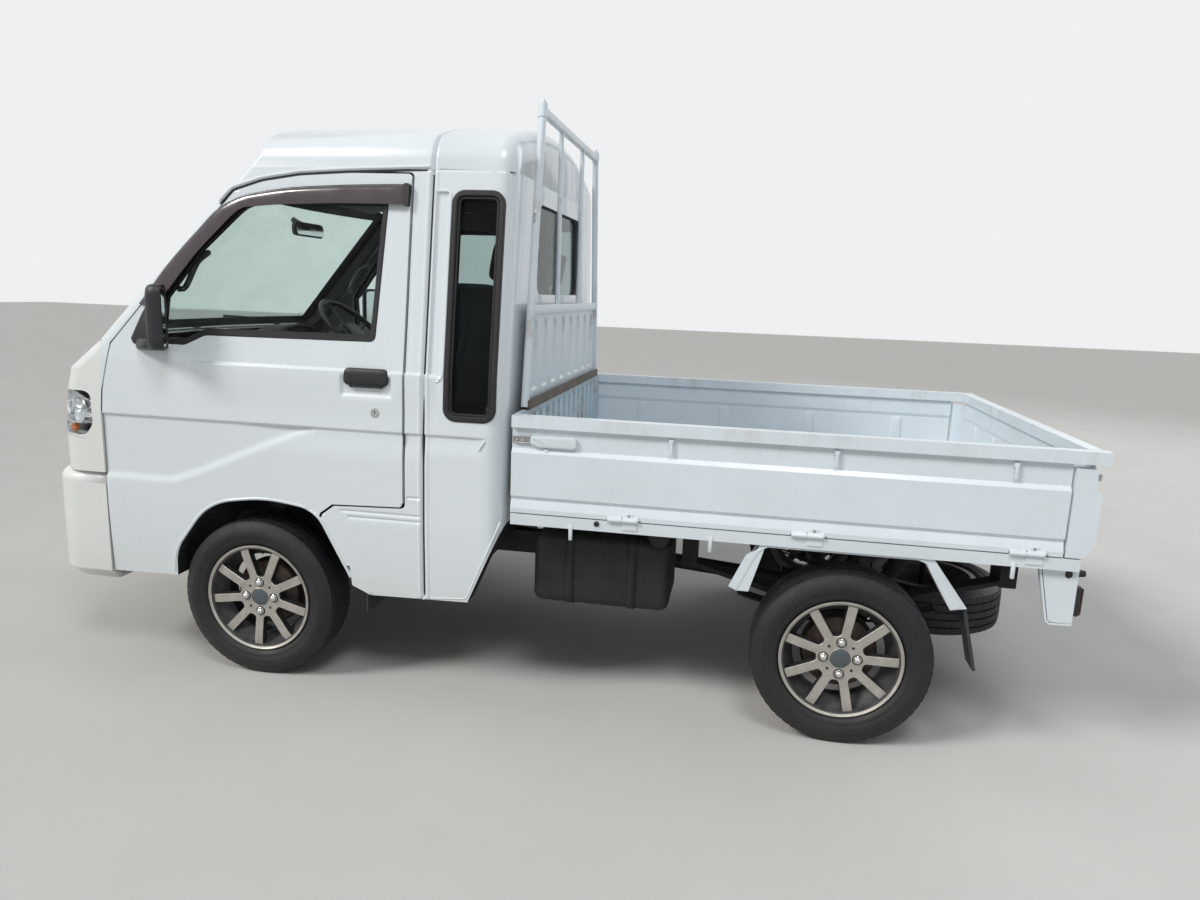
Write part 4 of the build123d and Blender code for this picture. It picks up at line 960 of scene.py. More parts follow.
def reskin(bm, sign, front_end):
    """Side faces of a panel made again as an even lattice, then pressed."""
    faces = [f for f in bm.faces if is_side(f, sign, front_end)]
    chosen = set(faces)
    edges = [e for e in {e for f in faces for e in f.edges} if sum(f in chosen for f in e.link_faces) == 1]
    corners = list({v for e in edges for v in e.verts})
    order = {v: i for i, v in enumerate(corners)}
    tree_verts = list({v for f in faces for v in f.verts})
    tree_order = {v: i for i, v in enumerate(tree_verts)}
    tree = BVHTree.FromPolygons(
        [v.co.copy() for v in tree_verts], [[tree_order[v] for v in f.verts] for f in faces]
    )
    flat = [Vector((v.co.x, v.co.z)) for v in corners]
    lines = [(order[e.verts[0]], order[e.verts[1]]) for e in edges]
    low_x, high_x = min(p.x for p in flat), max(p.x for p in flat)
    low_z, high_z = min(p.y for p in flat), max(p.y for p in flat)
    for mark in column_marks:
        x = axle_x + mark / 1000
        if low_x < x < high_x:
            lines.append((len(flat), len(flat) + 1))
            flat += [Vector((x, low_z - 0.01)), Vector((x, high_z + 0.01))]
    for mark in row_marks:
        z = mark / 1000
        if low_z < z < high_z:
            lines.append((len(flat), len(flat) + 1))
            flat += [Vector((low_x - 0.01, z)), Vector((high_x + 0.01, z))]
    points, pairs, cells, from_point, from_line, _ = delaunay_2d_cdt(flat, lines, [], 3, 1e-6)
    made = [None] * len(points)
    for i, sources in enumerate(from_point):
        for k in sources:
            if k < len(corners):
                made[i] = corners[k]
    on_edge = {}
    for (a, b), sources in zip(pairs, from_line):
        for k in sources:
            if k < len(edges):
                for i in (a, b):
                    if made[i] is None:
                        on_edge.setdefault(k, set()).add(i)
    for k, found in on_edge.items():
        start, end = edges[k].verts
        foot = Vector((start.co.x, start.co.z))
        run = Vector((end.co.x, end.co.z)) - foot
        placed = sorted(((points[i] - foot).dot(run) / run.length_squared, i) for i in found)
        done, edge = 0.0, edges[k]
        for t, i in placed:
            if made[i] is not None:
                continue
            _, vert = bmesh.utils.edge_split(edge, start, (t - done) / (1 - done))
            made[i] = vert
            edge = bm.edges.get((vert, end))
            start, done = vert, t
    inward = Vector((0, -sign, 0))

    def seat(p):
        """Place on the old side at a side-view point, in metres."""
        return tree.ray_cast(Vector((p.x, sign * 1.2, p.y)), inward)[0]

    kept = []
    for cell in cells:
        ring = [points[i] for i in cell]
        parts = tessellate_polygon([[p.to_3d() for p in ring]])
        a, b, c = max(parts, key=lambda part: area_tri(*(ring[k] for k in part)))
        if seat((ring[a] + ring[b] + ring[c]) / 3) is not None:
            kept.append(cell)
    for i in {i for cell in kept for i in cell}:
        if made[i] is None:
            p = points[i]
            place = seat(p) or tree.find_nearest(Vector((p.x, sign * side_y(p.y * 1000) / 1000, p.y)))[0]
            made[i] = bm.verts.new(place)
    bmesh.ops.delete(bm, geom=faces, context="FACES_ONLY")
    skin_verts = set()
    for cell in kept:
        ring = [made[i] for i in cell]
        if len(set(ring)) > 2 and bm.faces.get(ring) is None:
            bm.faces.new(ring)
            skin_verts.update(ring)
    bmesh.ops.delete(bm, geom=[e for e in bm.edges if not e.link_faces], context="EDGES")
    moves = []
    for vert in skin_verts:
        if not vert.is_valid:
            continue
        x, z = (vert.co.x - axle_x) * 1000, vert.co.z * 1000
        depth = side_depth(x, z)
        if depth:
            normal = tree.find_nearest(vert.co)[1]
            moves.append((vert, normal * (1 if normal.y * sign > 0 else -1) * depth / 1000))
    for vert, move in moves:
        vert.co += move


def tint_inside(bm):
    """Material 1 on faces that look into the cab, 2 on those of the wheel arches and underside."""
    for face in bm.faces:
        middle = face.calc_center_median()
        x, y, z = (middle.x - axle_x) * 1000, abs(middle.y) * 1000, middle.z * 1000
        buried = side_y(z) - y
        core = Vector((axle_x + max(-600, min(250, x)) / 1000, 0, max(0.8, min(1.5, middle.z))))
        radial = middle - core
        looks_in = face.normal.dot(radial) < -0.2 * radial.length
        if z < 662 and x < 720 and (face.normal.z < -0.5 or buried > 22):
            if not (looks_in and z > 640):
                face.material_index = 2
        elif looks_in and buried > 16:
            face.material_index = 1


def refine(name, body, signs):
    """Copy of a cab panel with its pressed creases, recesses and seams."""
    bm = bmesh.new()
    bm.from_mesh(nodes[name].data)
    bmesh.ops.remove_doubles(bm, verts=bm.verts, dist=1e-5)
    bm.normal_update()
    tint_inside(bm)
    for sign in signs:
        reskin(bm, sign, -0.2 if body == "chassis" else 1.0)
    if name == "roof":
        press_roof(bm)
    bmesh.ops.remove_doubles(bm, verts=bm.verts, dist=4e-5)
    bmesh.ops.triangulate(bm, faces=[f for f in bm.faces if len(f.verts) > 4])
    obj = finish_mesh(f"{name}_pressed", body, bm, [node_finish[name], pillar_trim, underseal], 34)
    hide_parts(name)


def press_roof(bm):
    """Groove of the joint over the roof."""
    for mark in (-577, -581, -585, -588.5, -592, -595.5, -599, -603, -608, -613):
        geom = list(bm.faces) + list(bm.edges) + list(bm.verts)
        bmesh.ops.bisect_plane(bm, geom=geom, dist=2e-5, plane_co=at(mark, 0, 0), plane_no=(1, 0, 0))
    bm.normal_update()
    moves = []
    for vert in bm.verts:
        x = (vert.co.x - axle_x) * 1000
        depth = -11 * notch(x, joint_x, 7) + joint_folds(x)
        core = Vector((vert.co.x, 0, 1.2))
        normals = [
            f.normal * f.calc_area() for f in vert.link_faces
            if f.normal.dot(f.calc_center_median() - core) > 0
        ]
        if depth and normals:
            moves.append((vert, sum(normals, Vector()).normalized() * depth / 1000))
    for vert, move in moves:
        vert.co += move


def make_panels():
    """Pressed panels of the cab."""
    refine("cab_body", "chassis", (1, -1))
    refine("roof", "chassis", ())
    for side_name, sign in sides:
        refine(f"door_{side_name}", f"door_{side_name}", (sign,))


# Glass surrounds and side trim


def bead(low, high, half, soft=1.5):
    """Strip section in metres: its foot below the surface, its top, half its width."""
    low, high, half, soft = low / 1000, high / 1000, half / 1000, soft / 1000
    return [
        (low, -half), (high - soft, -half), (high, soft - half), (high, half - soft),
        (high - soft, half), (low, half),
    ]


door_window = rounded(
    [
        (318, 1116), (222, 1114), (150, 1148), (-422, 1153), (-447, 1577), (22, 1577), (190, 1418),
        (308, 1262),
    ],
    [8, 30, 60, 12, 22, 150, 300, 20],
)
quarter_window = oblong(-666, -812, 926, 1600, 30)
arch_line = [(292, 316), (280, 420), (150, 592), (-50, 622), (-225, 598), (-338, 380), (-360, 250)]
arch_radii = [0, 150, 200, 500, 110, 0, 0]


def make_side_trim(side_name, sign):
    """Window seals, visor, handle, lock, drip rail and joint strips of one side."""
    door = f"door_{side_name}"
    bm = bmesh.new()
    side_strip(bm, grown(door_window, -1), sign, bead(-20, 3, 9, 3))
    side_strip(bm, grown(door_window, -12), sign, bead(-24, -13, 4, 1.5))
    finish_mesh(f"door_seal_{side_name}", door, bm, rubber, 40)
    bm = bmesh.new()
    side_strip(bm, grown(quarter_window, 1), sign, bead(-20, 5, 9.5, 4))
    side_strip(bm, grown(quarter_window, -12), sign, bead(-20, -2, 3.5, 1.5))
    finish_mesh(f"quarter_seal_{side_name}", "chassis", bm, rubber, 40)
    # Drip rail under the high roof, and under it a thin black strip that is painted shadow
    rail = [(112, 1562), (73, 1604), (-29, 1637), (-157, 1657), (-322, 1667), (-516, 1674), (-582, 1676)]
    path = rounded(rail, [0, 60, 200, 200, 200, 200, 0], closed=False)
    bm = bmesh.new()
    side_strip(bm, path, sign, bead(-4, 8, 5.5, 4), closed=False)
    # Thin black rubber strip just below the rail: painted shadow of the rail
    shadow_strip = [Vector((p.x, p.y - 9)) for p in path]
    side_strip(bm, shadow_strip, sign, bead(-4, 0.8, 3.2, 0.5), closed=False, index=1)
    finish_mesh(f"drip_rail_{side_name}", "chassis", bm, [body_paint, rubber], 40)
    # Rim of the recess ahead of the quarter window, the short fold behind it and the rear flange
    bm = bmesh.new()
    rim = rounded(
        [(-604, 1607), (-652, 1607), (-652, 1050), (-640, 1036), (-603, 1030)],
        [0, 12, 40, 20, 0],
        closed=False,
    )
    side_strip(bm, rim, sign, bead(-3, 2.2, 5, 3), closed=False)
    fold = rounded([(-792, 862), (-772, 832)], closed=False)
    side_strip(bm, fold, sign, bead(-3, 2.4, 4, 3), closed=False)
    flange = rounded([(-846, 612), (-734, 346), (-616, 337)], [0, 22, 0], closed=False)
    side_strip(bm, flange, sign, bead(-3, 1.6, 4, 2.5), closed=False)
    finish_mesh(f"panel_rim_{side_name}", "chassis", bm, body_paint, 60)
    # Black strip deep in the joint between the cab and its extension: sealant, and painted shade of the
    # groove
    bm = bmesh.new()
    joint = rounded([(joint_x, 336), (joint_x, 1655)], closed=False)
    # The black strip darkens the groove's floor as painted shade
    side_strip(bm, joint, sign, bead(-14, -7.5, 3, 1.5), closed=False)
    finish_mesh(f"joint_sealant_and_shade_{side_name}", "chassis", bm, rubber, 40)
    # Folded lip round the front wheel arch, one piece on the door and one on the cab
    lip = grown_open(rounded(arch_line, arch_radii, closed=False), 5)
    front = [p for p in lip if p.x > -198 and p.y > 330]
    rear = [p for p in lip if p.x < -206 and p.y > 376]
    for body, run in ((door, front), ("chassis", rear)):
        bm = bmesh.new()
        side_strip(bm, run, sign, bead(-4, 2.6, 5, 3), closed=False)
        finish_mesh(f"arch_lip_{body}_{side_name}", body, bm, body_paint, 60)
    make_visor(side_name, sign)
    make_handle(side_name, sign)


# Edges of the rain visor: place along the truck, height
visor_top = [
    (388, 1232), (350, 1276), (301, 1341), (245, 1405), (184, 1469), (120, 1533), (42, 1575),
    (-18, 1589), (-125, 1605), (-283, 1615), (-436, 1620), (-521, 1621),
]
visor_low = [
    (328, 1216), (273, 1278), (222, 1343), (168, 1407), (105, 1471), (35, 1534), (-28, 1545),
    (-133, 1553), (-288, 1559), (-441, 1560), (-521, 1559),
]
# Its section, down the outside and back up the inside: share of the way down, lift
visor_section = [
    (0, 2.5), (0.04, 9), (0.12, 13), (0.3, 15.5), (0.6, 17), (0.9, 17.5), (1, 17),
    (0.985, 14.6), (0.6, 14.5), (0.3, 13), (0.12, 10.5), (0.06, 6.5), (0.03, 2.0),
]


def make_visor(side_name, sign):
    """Smoked rain visor over the door window."""
    count = 60
    top, low = spline(visor_top, count), spline(visor_low, count)
    place = over_side(sign)
    rings = []
    for k, (a, b) in enumerate(zip(top, low)):
        rise = 0.35 + 0.65 * min(1.0, (k + 0.5) / 4, (count + 0.5 - k) / 1.5)
        rings.append([place(a.lerp(b, t), lift * rise) for t, lift in visor_section])
    bm = bmesh.new()
    bridge(bm, rings, caps=True)
    finish_mesh(f"visor_{side_name}", f"door_{side_name}", bm, smoke, 50)
    bm = bmesh.new()
    end = rounded([(-506, 1623), (-525, 1622), (-523, 1556), (-506, 1558)], 5)
    stack(bm, end, ((-1, 0), (19, 0)), place)
    side_strip(bm, top[3:], sign, bead(-2, 4, 2.2, 1), closed=False)
    finish_mesh(f"visor_end_{side_name}", f"door_{side_name}", bm, black_trim, 35)


def make_handle(side_name, sign):
    """Pull handle in its recess and the lock under it."""
    door = f"door_{side_name}"
    bm = bmesh.new()
    ring = even(rounded([(-330, 1010), (-480, 1010), (-478, 1064), (-334, 1064)], 17, 8), 72)
    place = over_side(sign)
    layers = []
    for shrink, lift in ((0, -8), (0, 4), (1.2, 8), (4, 11.5), (9, 13.5), (16, 14.2), (22, 14.4)):
        layers.append([place(p, lift) for p in grown(ring, -shrink)])
    # Its back is closed on a line along the middle
    middle_x, middle_z = -405, 1037
    line = [Vector((middle_x + (p.x - middle_x) * 0.86, middle_z)) for p in grown(ring, -22)]
    layers.append([place(p, 14.5) for p in line])
    bridge(bm, layers)
    bmesh.ops.remove_doubles(bm, verts=bm.verts, dist=1e-5)
    stack(bm, oblong(-352, -462, 1004, 1014, 4, 8), ((-6, 0), (9, 0)), place)
    finish_mesh(f"handle_{side_name}", door, bm, black_trim, 45)
    bm = bmesh.new()
    place, normal = on_side(-435, 928, sign)
    profile = [
        (0.0001, 0.003), (0.0085, 0.0032), (0.0095, 0.0022), (0.0142, 0.0022), (0.0158, 0.0),
        (0.0158, -0.004), (0.0001, -0.004),
    ]
    lock = bmesh.new()
    lathe(lock, profile, Vector(), 32, 0, closed=False)
    box(lock, (-0.0012, 0.001, -0.0054), (0.0012, 0.0036, 0.0054), 1)
    add_turned(bm, lock, normal, place, "Y")
    finish_mesh(f"lock_{side_name}", door, bm, [chrome, rubber], 40)


def make_mirror(side_name, sign):
    """Door mirror turned to the driver: housing, glass, foot and the black plate behind it."""
    door = f"door_{side_name}"

    def place(p, deep):
        """Place of a point of the mirror's face (across, height), at a depth from its middle."""
        x = 265 - 0.5 * p.x + 0.866 * deep
        return at(x, sign * (783 + 0.866 * p.x + 0.5 * deep), p.y)

    # Housing: depth from its middle, half width, lowest and highest height, corner radius
    sections = [
        (-25, 58, 1096, 1293, 20), (-22.5, 60.5, 1093, 1296.5, 24), (-8, 60, 1092.5, 1297.5, 26),
        (6, 56.5, 1093.5, 1296, 28), (16, 49, 1097, 1292, 30), (22, 40, 1104, 1284, 32),
        (25, 26, 1122, 1268, 22),
    ]
    pocket = even(oblong(-54, 54, 1100, 1289, 18, 400), 64)
    rings = [[place(p, deep) for p in pocket] for deep in (-18, -24.5)]
    for deep, half, z0, z1, r in sections:
        rings.append([place(p, deep) for p in even(oblong(-half, half, z0, z1, r, 400), 64)])
    bm = bmesh.new()
    bridge(bm, rings, caps=True)
    shell = finish_mesh(f"mirror_shell_{side_name}", door, bm, black_trim, 60)
    bm = bmesh.new()
    stack(bm, even(oblong(-52, 52, 1102, 1287, 16, 400), 64), ((-17, 0), (-22, 1.0)), place)
    finish_mesh(f"mirror_glass_{side_name}", door, bm, mirror_glass, 40)
    # Foot: distance out from the skin, rear end, front end, lowest and highest height, corner radius
    bm = bmesh.new()
    foot = [
        (-8, 296, 392, 1084, 1124, 10), (2, 296, 392, 1084, 1124, 10), (14, 292, 384, 1083, 1122, 14),
        (34, 282, 362, 1083, 1118, 15), (58, 266, 332, 1085, 1116, 14), (76, 258, 306, 1088, 1112, 11),
    ]
    on_skin = over_side(sign)
    rings = []
    for out, rear, front, z0, z1, r in foot:
        rings.append([on_skin(p, out) for p in even(oblong(rear, front, z0, z1, r, 400), 40)])
    bridge(bm, rings, caps=True)
    finish_mesh(f"mirror_foot_{side_name}", door, bm, black_trim, 50)
    bm = bmesh.new()
    sail = rounded(
        [(412, 1119), (402, 1102), (296, 1100), (296, 1252), (348, 1247), (374, 1203)],
        [8, 12, 4, 8, 30, 60], 10,
    )
    stack(bm, even(sail, 80), ((-10, 0), (2.5, 0), (4, 1), (5, 4)), on_skin)
    finish_mesh(f"mirror_plate_{side_name}", door, bm, black_trim, 40)
    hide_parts(f"mirror_{side_name}")


# Nose


def front_points(outline, surface, lift=0.0):
    """Points and smoothed normals of a front-view (Y, Z) outline on the nose."""
    pairs = [surface.front(p.x, p.y) for p in outline]
    count = len(pairs)
    points = [p for p, _ in pairs]
    normals = []
    for i in range(count):
        total = Vector()
        for k in (-2, -1, 0, 1, 2):
            total += pairs[(i + k) % count][1]
        normals.append(total.normalized())
    return [p + n * lift / 1000 for p, n in zip(points, normals)], normals


def front_strip(bm, outline, surface, profile, closed=True, lift=0.0):
    """Profile carried along a front-view outline that lies on the nose."""
    points, normals = front_points(outline, surface, lift)
    sweep(bm, points, normals, profile, closed)


nose = Surface("front_panel", "cab_body", "windscreen", "roof", "bumper", "headlamps")
glass_front = Surface("windscreen")


def make_windscreen_trim():
    """Windscreen seal, dark band, wipers and cowl."""
    screen = rounded([(-636, 1115), (636, 1115), (560, 1655), (-560, 1655)], 50, 30)
    bm = bmesh.new()
    front_strip(bm, grown(screen, 1), nose, bead(-12, 3, 10, 3))
    finish_mesh("windscreen_seal", "chassis", bm, rubber, 50)
    bm = bmesh.new()
    inner = grown(screen, -32)
    front_strip(bm, inner, glass_front, bead(-5.6, -5.1, 24, 0.1))
    finish_mesh("windscreen_band", "chassis", bm, rubber, 50)
    # Wipers: pivot and blade ends across the truck, with their heights
    wipers = [(-500, 1108, -560, 1128, -90, 1158), (20, 1108, -40, 1128, 420, 1158)]
    for index, (py, pz, y0, z0, y1, z1) in enumerate(wipers):
        bm = bmesh.new()
        count = 16
        blade, normals = [], []
        for k in range(count + 1):
            t = k / count
            place, normal = nose.front(y0 + (y1 - y0) * t, z0 + (z1 - z0) * t)
            blade.append(place + normal * 0.008)
            normals.append(normal)
        sweep(bm, blade, normals, bead(-6, 3, 3, 1))
        sweep(bm, [p + n * 0.008 for p, n in zip(blade, normals)], normals, bead(-2, 3, 5, 1.5))
        pivot, normal = nose.front(py, pz)
        middle, middle_normal = nose.front((y0 + y1) / 2, (z0 + z1) / 2)
        arm = [
            pivot + normal * 0.012, pivot.lerp(middle, 0.5) + normal * 0.034,
            middle + middle_normal * 0.024,
        ]
        tube(bm, arm, [0.009, 0.006, 0.004], 10, flat=0.6)
        tube(bm, [pivot - normal * 0.01, pivot + normal * 0.02], [0.014, 0.011], 20)
        wiper = finish_mesh(f"wiper_{index + 1}", "chassis", bm, black_trim, 40)
        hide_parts("wipers")
    for y in (-250, 250):
        bm = bmesh.new()
        place, normal = nose.front(y, 1085)
        nozzle = [place + normal * d for d in (-0.006, 0.006, 0.009)]
        tube(bm, nozzle, [0.011, 0.010, 0.005], 16)
        finish_mesh(f"washer_{'left' if y > 0 else 'right'}", "chassis", bm, black_trim, 50)


lamp_length = 430


def lamp_line(outline):
    """Outline of a headlamp in millimetres, its places made shares of the lamp's length."""
    return [Vector((p.x / lamp_length, p.y)) for p in even(outline, 120)]


def make_headlamps():
    """Wrap-round headlamps: clear lens, bright pan, bowls, divider, orange lamp and body corners."""
    source = Surface("headlamps", "front_panel")
    made = []
    for side_name, sign in sides:
        hub = at(600, sign * 500, 0)

        def seat(t, z, lift=0.0):
            """Place on the lamp's outer face: t from its inner end to its rear end."""
            inner = source.hit(at(1200, sign * 397, z), Vector((-1, 0, 0)))[0]
            rear = source.hit(at(550, sign * 1200, z), Vector((0, -sign, 0)))[0]
            a0 = atan2((inner.y - hub.y) * sign, inner.x - hub.x)
            a1 = atan2((rear.y - hub.y) * sign, rear.x - hub.x)
            a = a0 + (a1 - a0) * t
            way = Vector((cos(a), sin(a) * sign, 0))
            start = Vector((hub.x, hub.y, z / 1000)) + way
            place = source.hit(start, -way)[0]
            return place - way * 0.0005 + way * (lift / 1000)

        def outward(p):
            """Level way from the lamp's hub to a place."""
            return Vector((p.x - hub.x, p.y - hub.y, 0)).normalized()

        def drawn_in(scale, lift):
            """Ring of the lens's outline, scaled about its centre."""
            return [seat(*(centre + (p - centre) * scale), lift) for p in lens_line]

        lens_corners = [(10, 800), (400, 792), (421, 830), (418, 940), (10, 944)]
        lens_line = lamp_line(rounded(lens_corners, [14, 26, 20, 26, 12], 400))
        border = lamp_line([Vector(p) for p in ((-4, 773), (433, 773), (433, 953), (-4, 953))])
        centre = Vector((0.5, 868))
        bm = bmesh.new()
        lines = ((border, -3), (border, 0.2), (lens_line, 0.8), (lens_line, -8))
        bridge(bm, [[seat(*p, lift) for p in line] for line, lift in lines])
        made.append(finish_mesh(f"lamp_corners_{side_name}", "chassis", bm, front_plastic, 40))
        bm = bmesh.new()
        steps = [(0.994, -5), (0.99, -1.2), (0.97, 0), (0.8, 0), (0.6, 0), (0.4, 0), (0.2, 0), (0.04, 0)]
        bridge(bm, [drawn_in(scale, lift) for scale, lift in steps], caps=True)
        made.append(finish_mesh(f"lamp_lens_{side_name}", "chassis", bm, lens_clear, 50))
        bm = bmesh.new()
        steps = [(1.0, -6), (0.985, -16), (0.95, -34), (0.86, -46), (0.6, -49), (0.3, -49), (0.04, -49)]
        bridge(bm, [drawn_in(scale, lift) for scale, lift in steps], caps=True)
        # Divider between the main and the turn lamp
        up = Vector((0, 0, 0.0022))
        rows = []
        for p in [seat(0.05 + 0.9 * k / 40, 832) for k in range(41)]:
            way = outward(p)
            section = ((0.046, -1), (0.007, -1), (0.007, 1), (0.046, 1))
            rows.append([p - way * depth + up * side for depth, side in section])
        bridge(bm, rows, caps=True)
        made.append(finish_mesh(f"lamp_pan_{side_name}", "chassis", bm, lamp_silver, 40))
        # Bowls with their bulbs, and the orange turn lamps below
        bm = bmesh.new()
        cup = [
            (0.004, -40), (0.35, -38), (0.66, -30), (0.88, -20), (1.0, -9), (1.05, -9), (1.05, -12),
            (0.92, -24),
        ]
        for t, z, r in ((0.66, 888, 42), (0.36, 888, 44), (0.86, 890, 24)):
            mouth = seat(t, z)
            way = (outward(mouth) + Vector((0.55, 0, 0))).normalized()
            bowl = bmesh.new()
            lathe(bowl, metres([(max(r * a, 0.3), b) for a, b in cup]), Vector(), 40, 0, "X", False)
            bulb = [(-0.038, 0, 0), (-0.016, 0, 0), (-0.012, 0, 0)]
            tube(bowl, bulb, [0.006, 0.006, 0.003], 14, index=1)
            add_turned(bm, bowl, way, mouth - way * 0.004)
        for t in (0.30, 0.55, 0.80):
            mouth = seat(t, 811)
            way = outward(mouth)
            bulb = [mouth - way * depth for depth in (0.045, 0.03, 0.018, 0.012)]
            tube(bm, bulb, [0.011, 0.014, 0.012, 0.005], 20, index=2)
        for z in (806, 812, 818, 824):
            tube(bm, [seat(0.06 + 0.88 * k / 40, z, -5) for k in range(41)], 0.0011, 6, index=3)
        materials = [reflector, chrome, lens_orange, lens_clear]
        made.append(finish_mesh(f"lamp_bowls_{side_name}", "chassis", bm, materials, 40))
    for obj in made:
        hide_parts("headlamps")


def boolean_cut(name, body, cutter, materials):
    """Copy of a CAD node, divided into a lattice, with a block cut out of it."""
    bm = bmesh.new()
    bm.from_mesh(nodes[name].data)
    bmesh.ops.remove_doubles(bm, verts=bm.verts, dist=1e-5)
    cuts = [((0, 0, z / 1000), (0, 0, 1)) for z in range(325, 630, 15)]
    cuts += [((0, y / 1000, 0), (0, 1, 0)) for y in range(-680, 681, 20)]
    for place, normal in cuts:
        geom = list(bm.faces) + list(bm.edges) + list(bm.verts)
        bmesh.ops.bisect_plane(bm, geom=geom, dist=2e-5, plane_co=place, plane_no=normal)
    obj = finish_mesh(f"{name}_pressed", body, bm, materials, 34)
    mesh = bpy.data.meshes.new(f"{name}_cutter")
    cutter.to_mesh(mesh)
    cutter.free()
    tool = bpy.data.objects.new(f"{name}_cutter", mesh)
    collection.objects.link(tool)
    modifier = obj.modifiers.new("cut", "BOOLEAN")
    modifier.operation = "DIFFERENCE"
    modifier.solver = "EXACT"
    modifier.object = tool
    depsgraph = bpy.context.evaluated_depsgraph_get()
    mesh = bpy.data.meshes.new_from_object(obj.evaluated_get(depsgraph))
    obj.modifiers.clear()
    obj.data = mesh
    mesh.shade_smooth()
    mesh.set_sharp_from_angle(angle=radians(34))
    bpy.data.objects.remove(tool)
    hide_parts(name)


def make_bumper():
    """Bumper with its grille, number plate in a shallow recess and fog lamp covers."""
    recess = [at(833.5, p.x, p.y) for p in oblong(-172, 172, 512, 700, 10)]
    cutter = bmesh.new()
    prism(cutter, recess, (0.0665, 0, 0))
    bmesh.ops.recalc_face_normals(cutter, faces=cutter.faces)
    boolean_cut("bumper", "chassis", cutter, [front_plastic])
    bm = bmesh.new()
    for z in range(432, 496, 12):
        box(bm, at(752, -345, z - 2), at(800, 345, z + 2))
    for y in range(-330, 331, 30):
        box(bm, at(756, y - 1.5, 420), at(788, y + 1.5, 500))
    box(bm, at(745, -350, 415), at(753, 350, 505))
    finish_mesh("grille", "chassis", bm, black_trim, 30)
    # Fog lamp covers seated on the curved face, each with its round lamp
    face = Surface("bumper")
    for side_name, s in sides:
        bm = bmesh.new()
        cover = even(rounded([(s * 432, 424), (s * 588, 418), (s * 596, 498), (s * 426, 500)], 22), 96)
        centre = Vector((s * 510, 460))
        rings = []
        for scale, lift in ((1.0, -3), (1.0, 1.6), (0.98, 2.0), (0.95, 0.4), (0.6, -0.4), (0.3, -0.6)):
            ring = [face.front(*(centre + (p - centre) * scale))[0] for p in cover]
            rings.append([p + Vector((lift / 1000, 0, 0)) for p in ring])
        bridge(bm, rings, caps=True)
        place, way = face.front(s * 510, 460)
        lamp = bmesh.new()
        ring = [
            (0.0355, -0.002), (0.0355, 0.005), (0.0335, 0.0072), (0.031, 0.006), (0.0295, 0.0028),
            (0.0295, -0.002),
        ]
        lathe(lamp, ring, Vector(), 48, 0, "X")
        glass = [
            (0.0294, 0.0018), (0.022, 0.0034), (0.012, 0.0044), (0.0005, 0.0048), (0.0005, -0.001),
            (0.0294, -0.001),
        ]
        lathe(lamp, glass, Vector(), 48, 1, "X", False)
        add_turned(bm, lamp, way, place)
        for z in (436, 446, 474, 484):
            for start, end in ((438, 466), (554, 582)):
                line = [face.front(s * (start + (end - start) * k / 6), z)[0] for k in range(7)]
                tube(bm, [p + Vector((0.001, 0, 0)) for p in line], 0.0016, 8)
        finish_mesh(f"fog_lamp_{side_name}", "chassis", bm, [black_trim, reflector], 40)
    # Plate with its pressed rim and two screws, without any characters
    bm = bmesh.new()
    plate = even(oblong(-165, 165, 520, 685, 12), 120)
    steps = ((833.2, 0), (835.2, 0), (836.2, 1.2), (836.4, 4), (835.2, 6.5), (835.0, 9))
    stack(bm, plate, steps, facing)
    for y in (-105, 105):
        place = at(835, y, 662)
        screw = [place + Vector((d, 0, 0)) for d in (0, 0.003, 0.0042)]
        tube(bm, screw, [0.007, 0.0065, 0.004], 20, index=1)
    finish_mesh("number_plate_front", "chassis", bm, [plate_metal, chrome], 30)


# Load bed


rib_steps = ((19, 0), (24, 3), (25, 7))


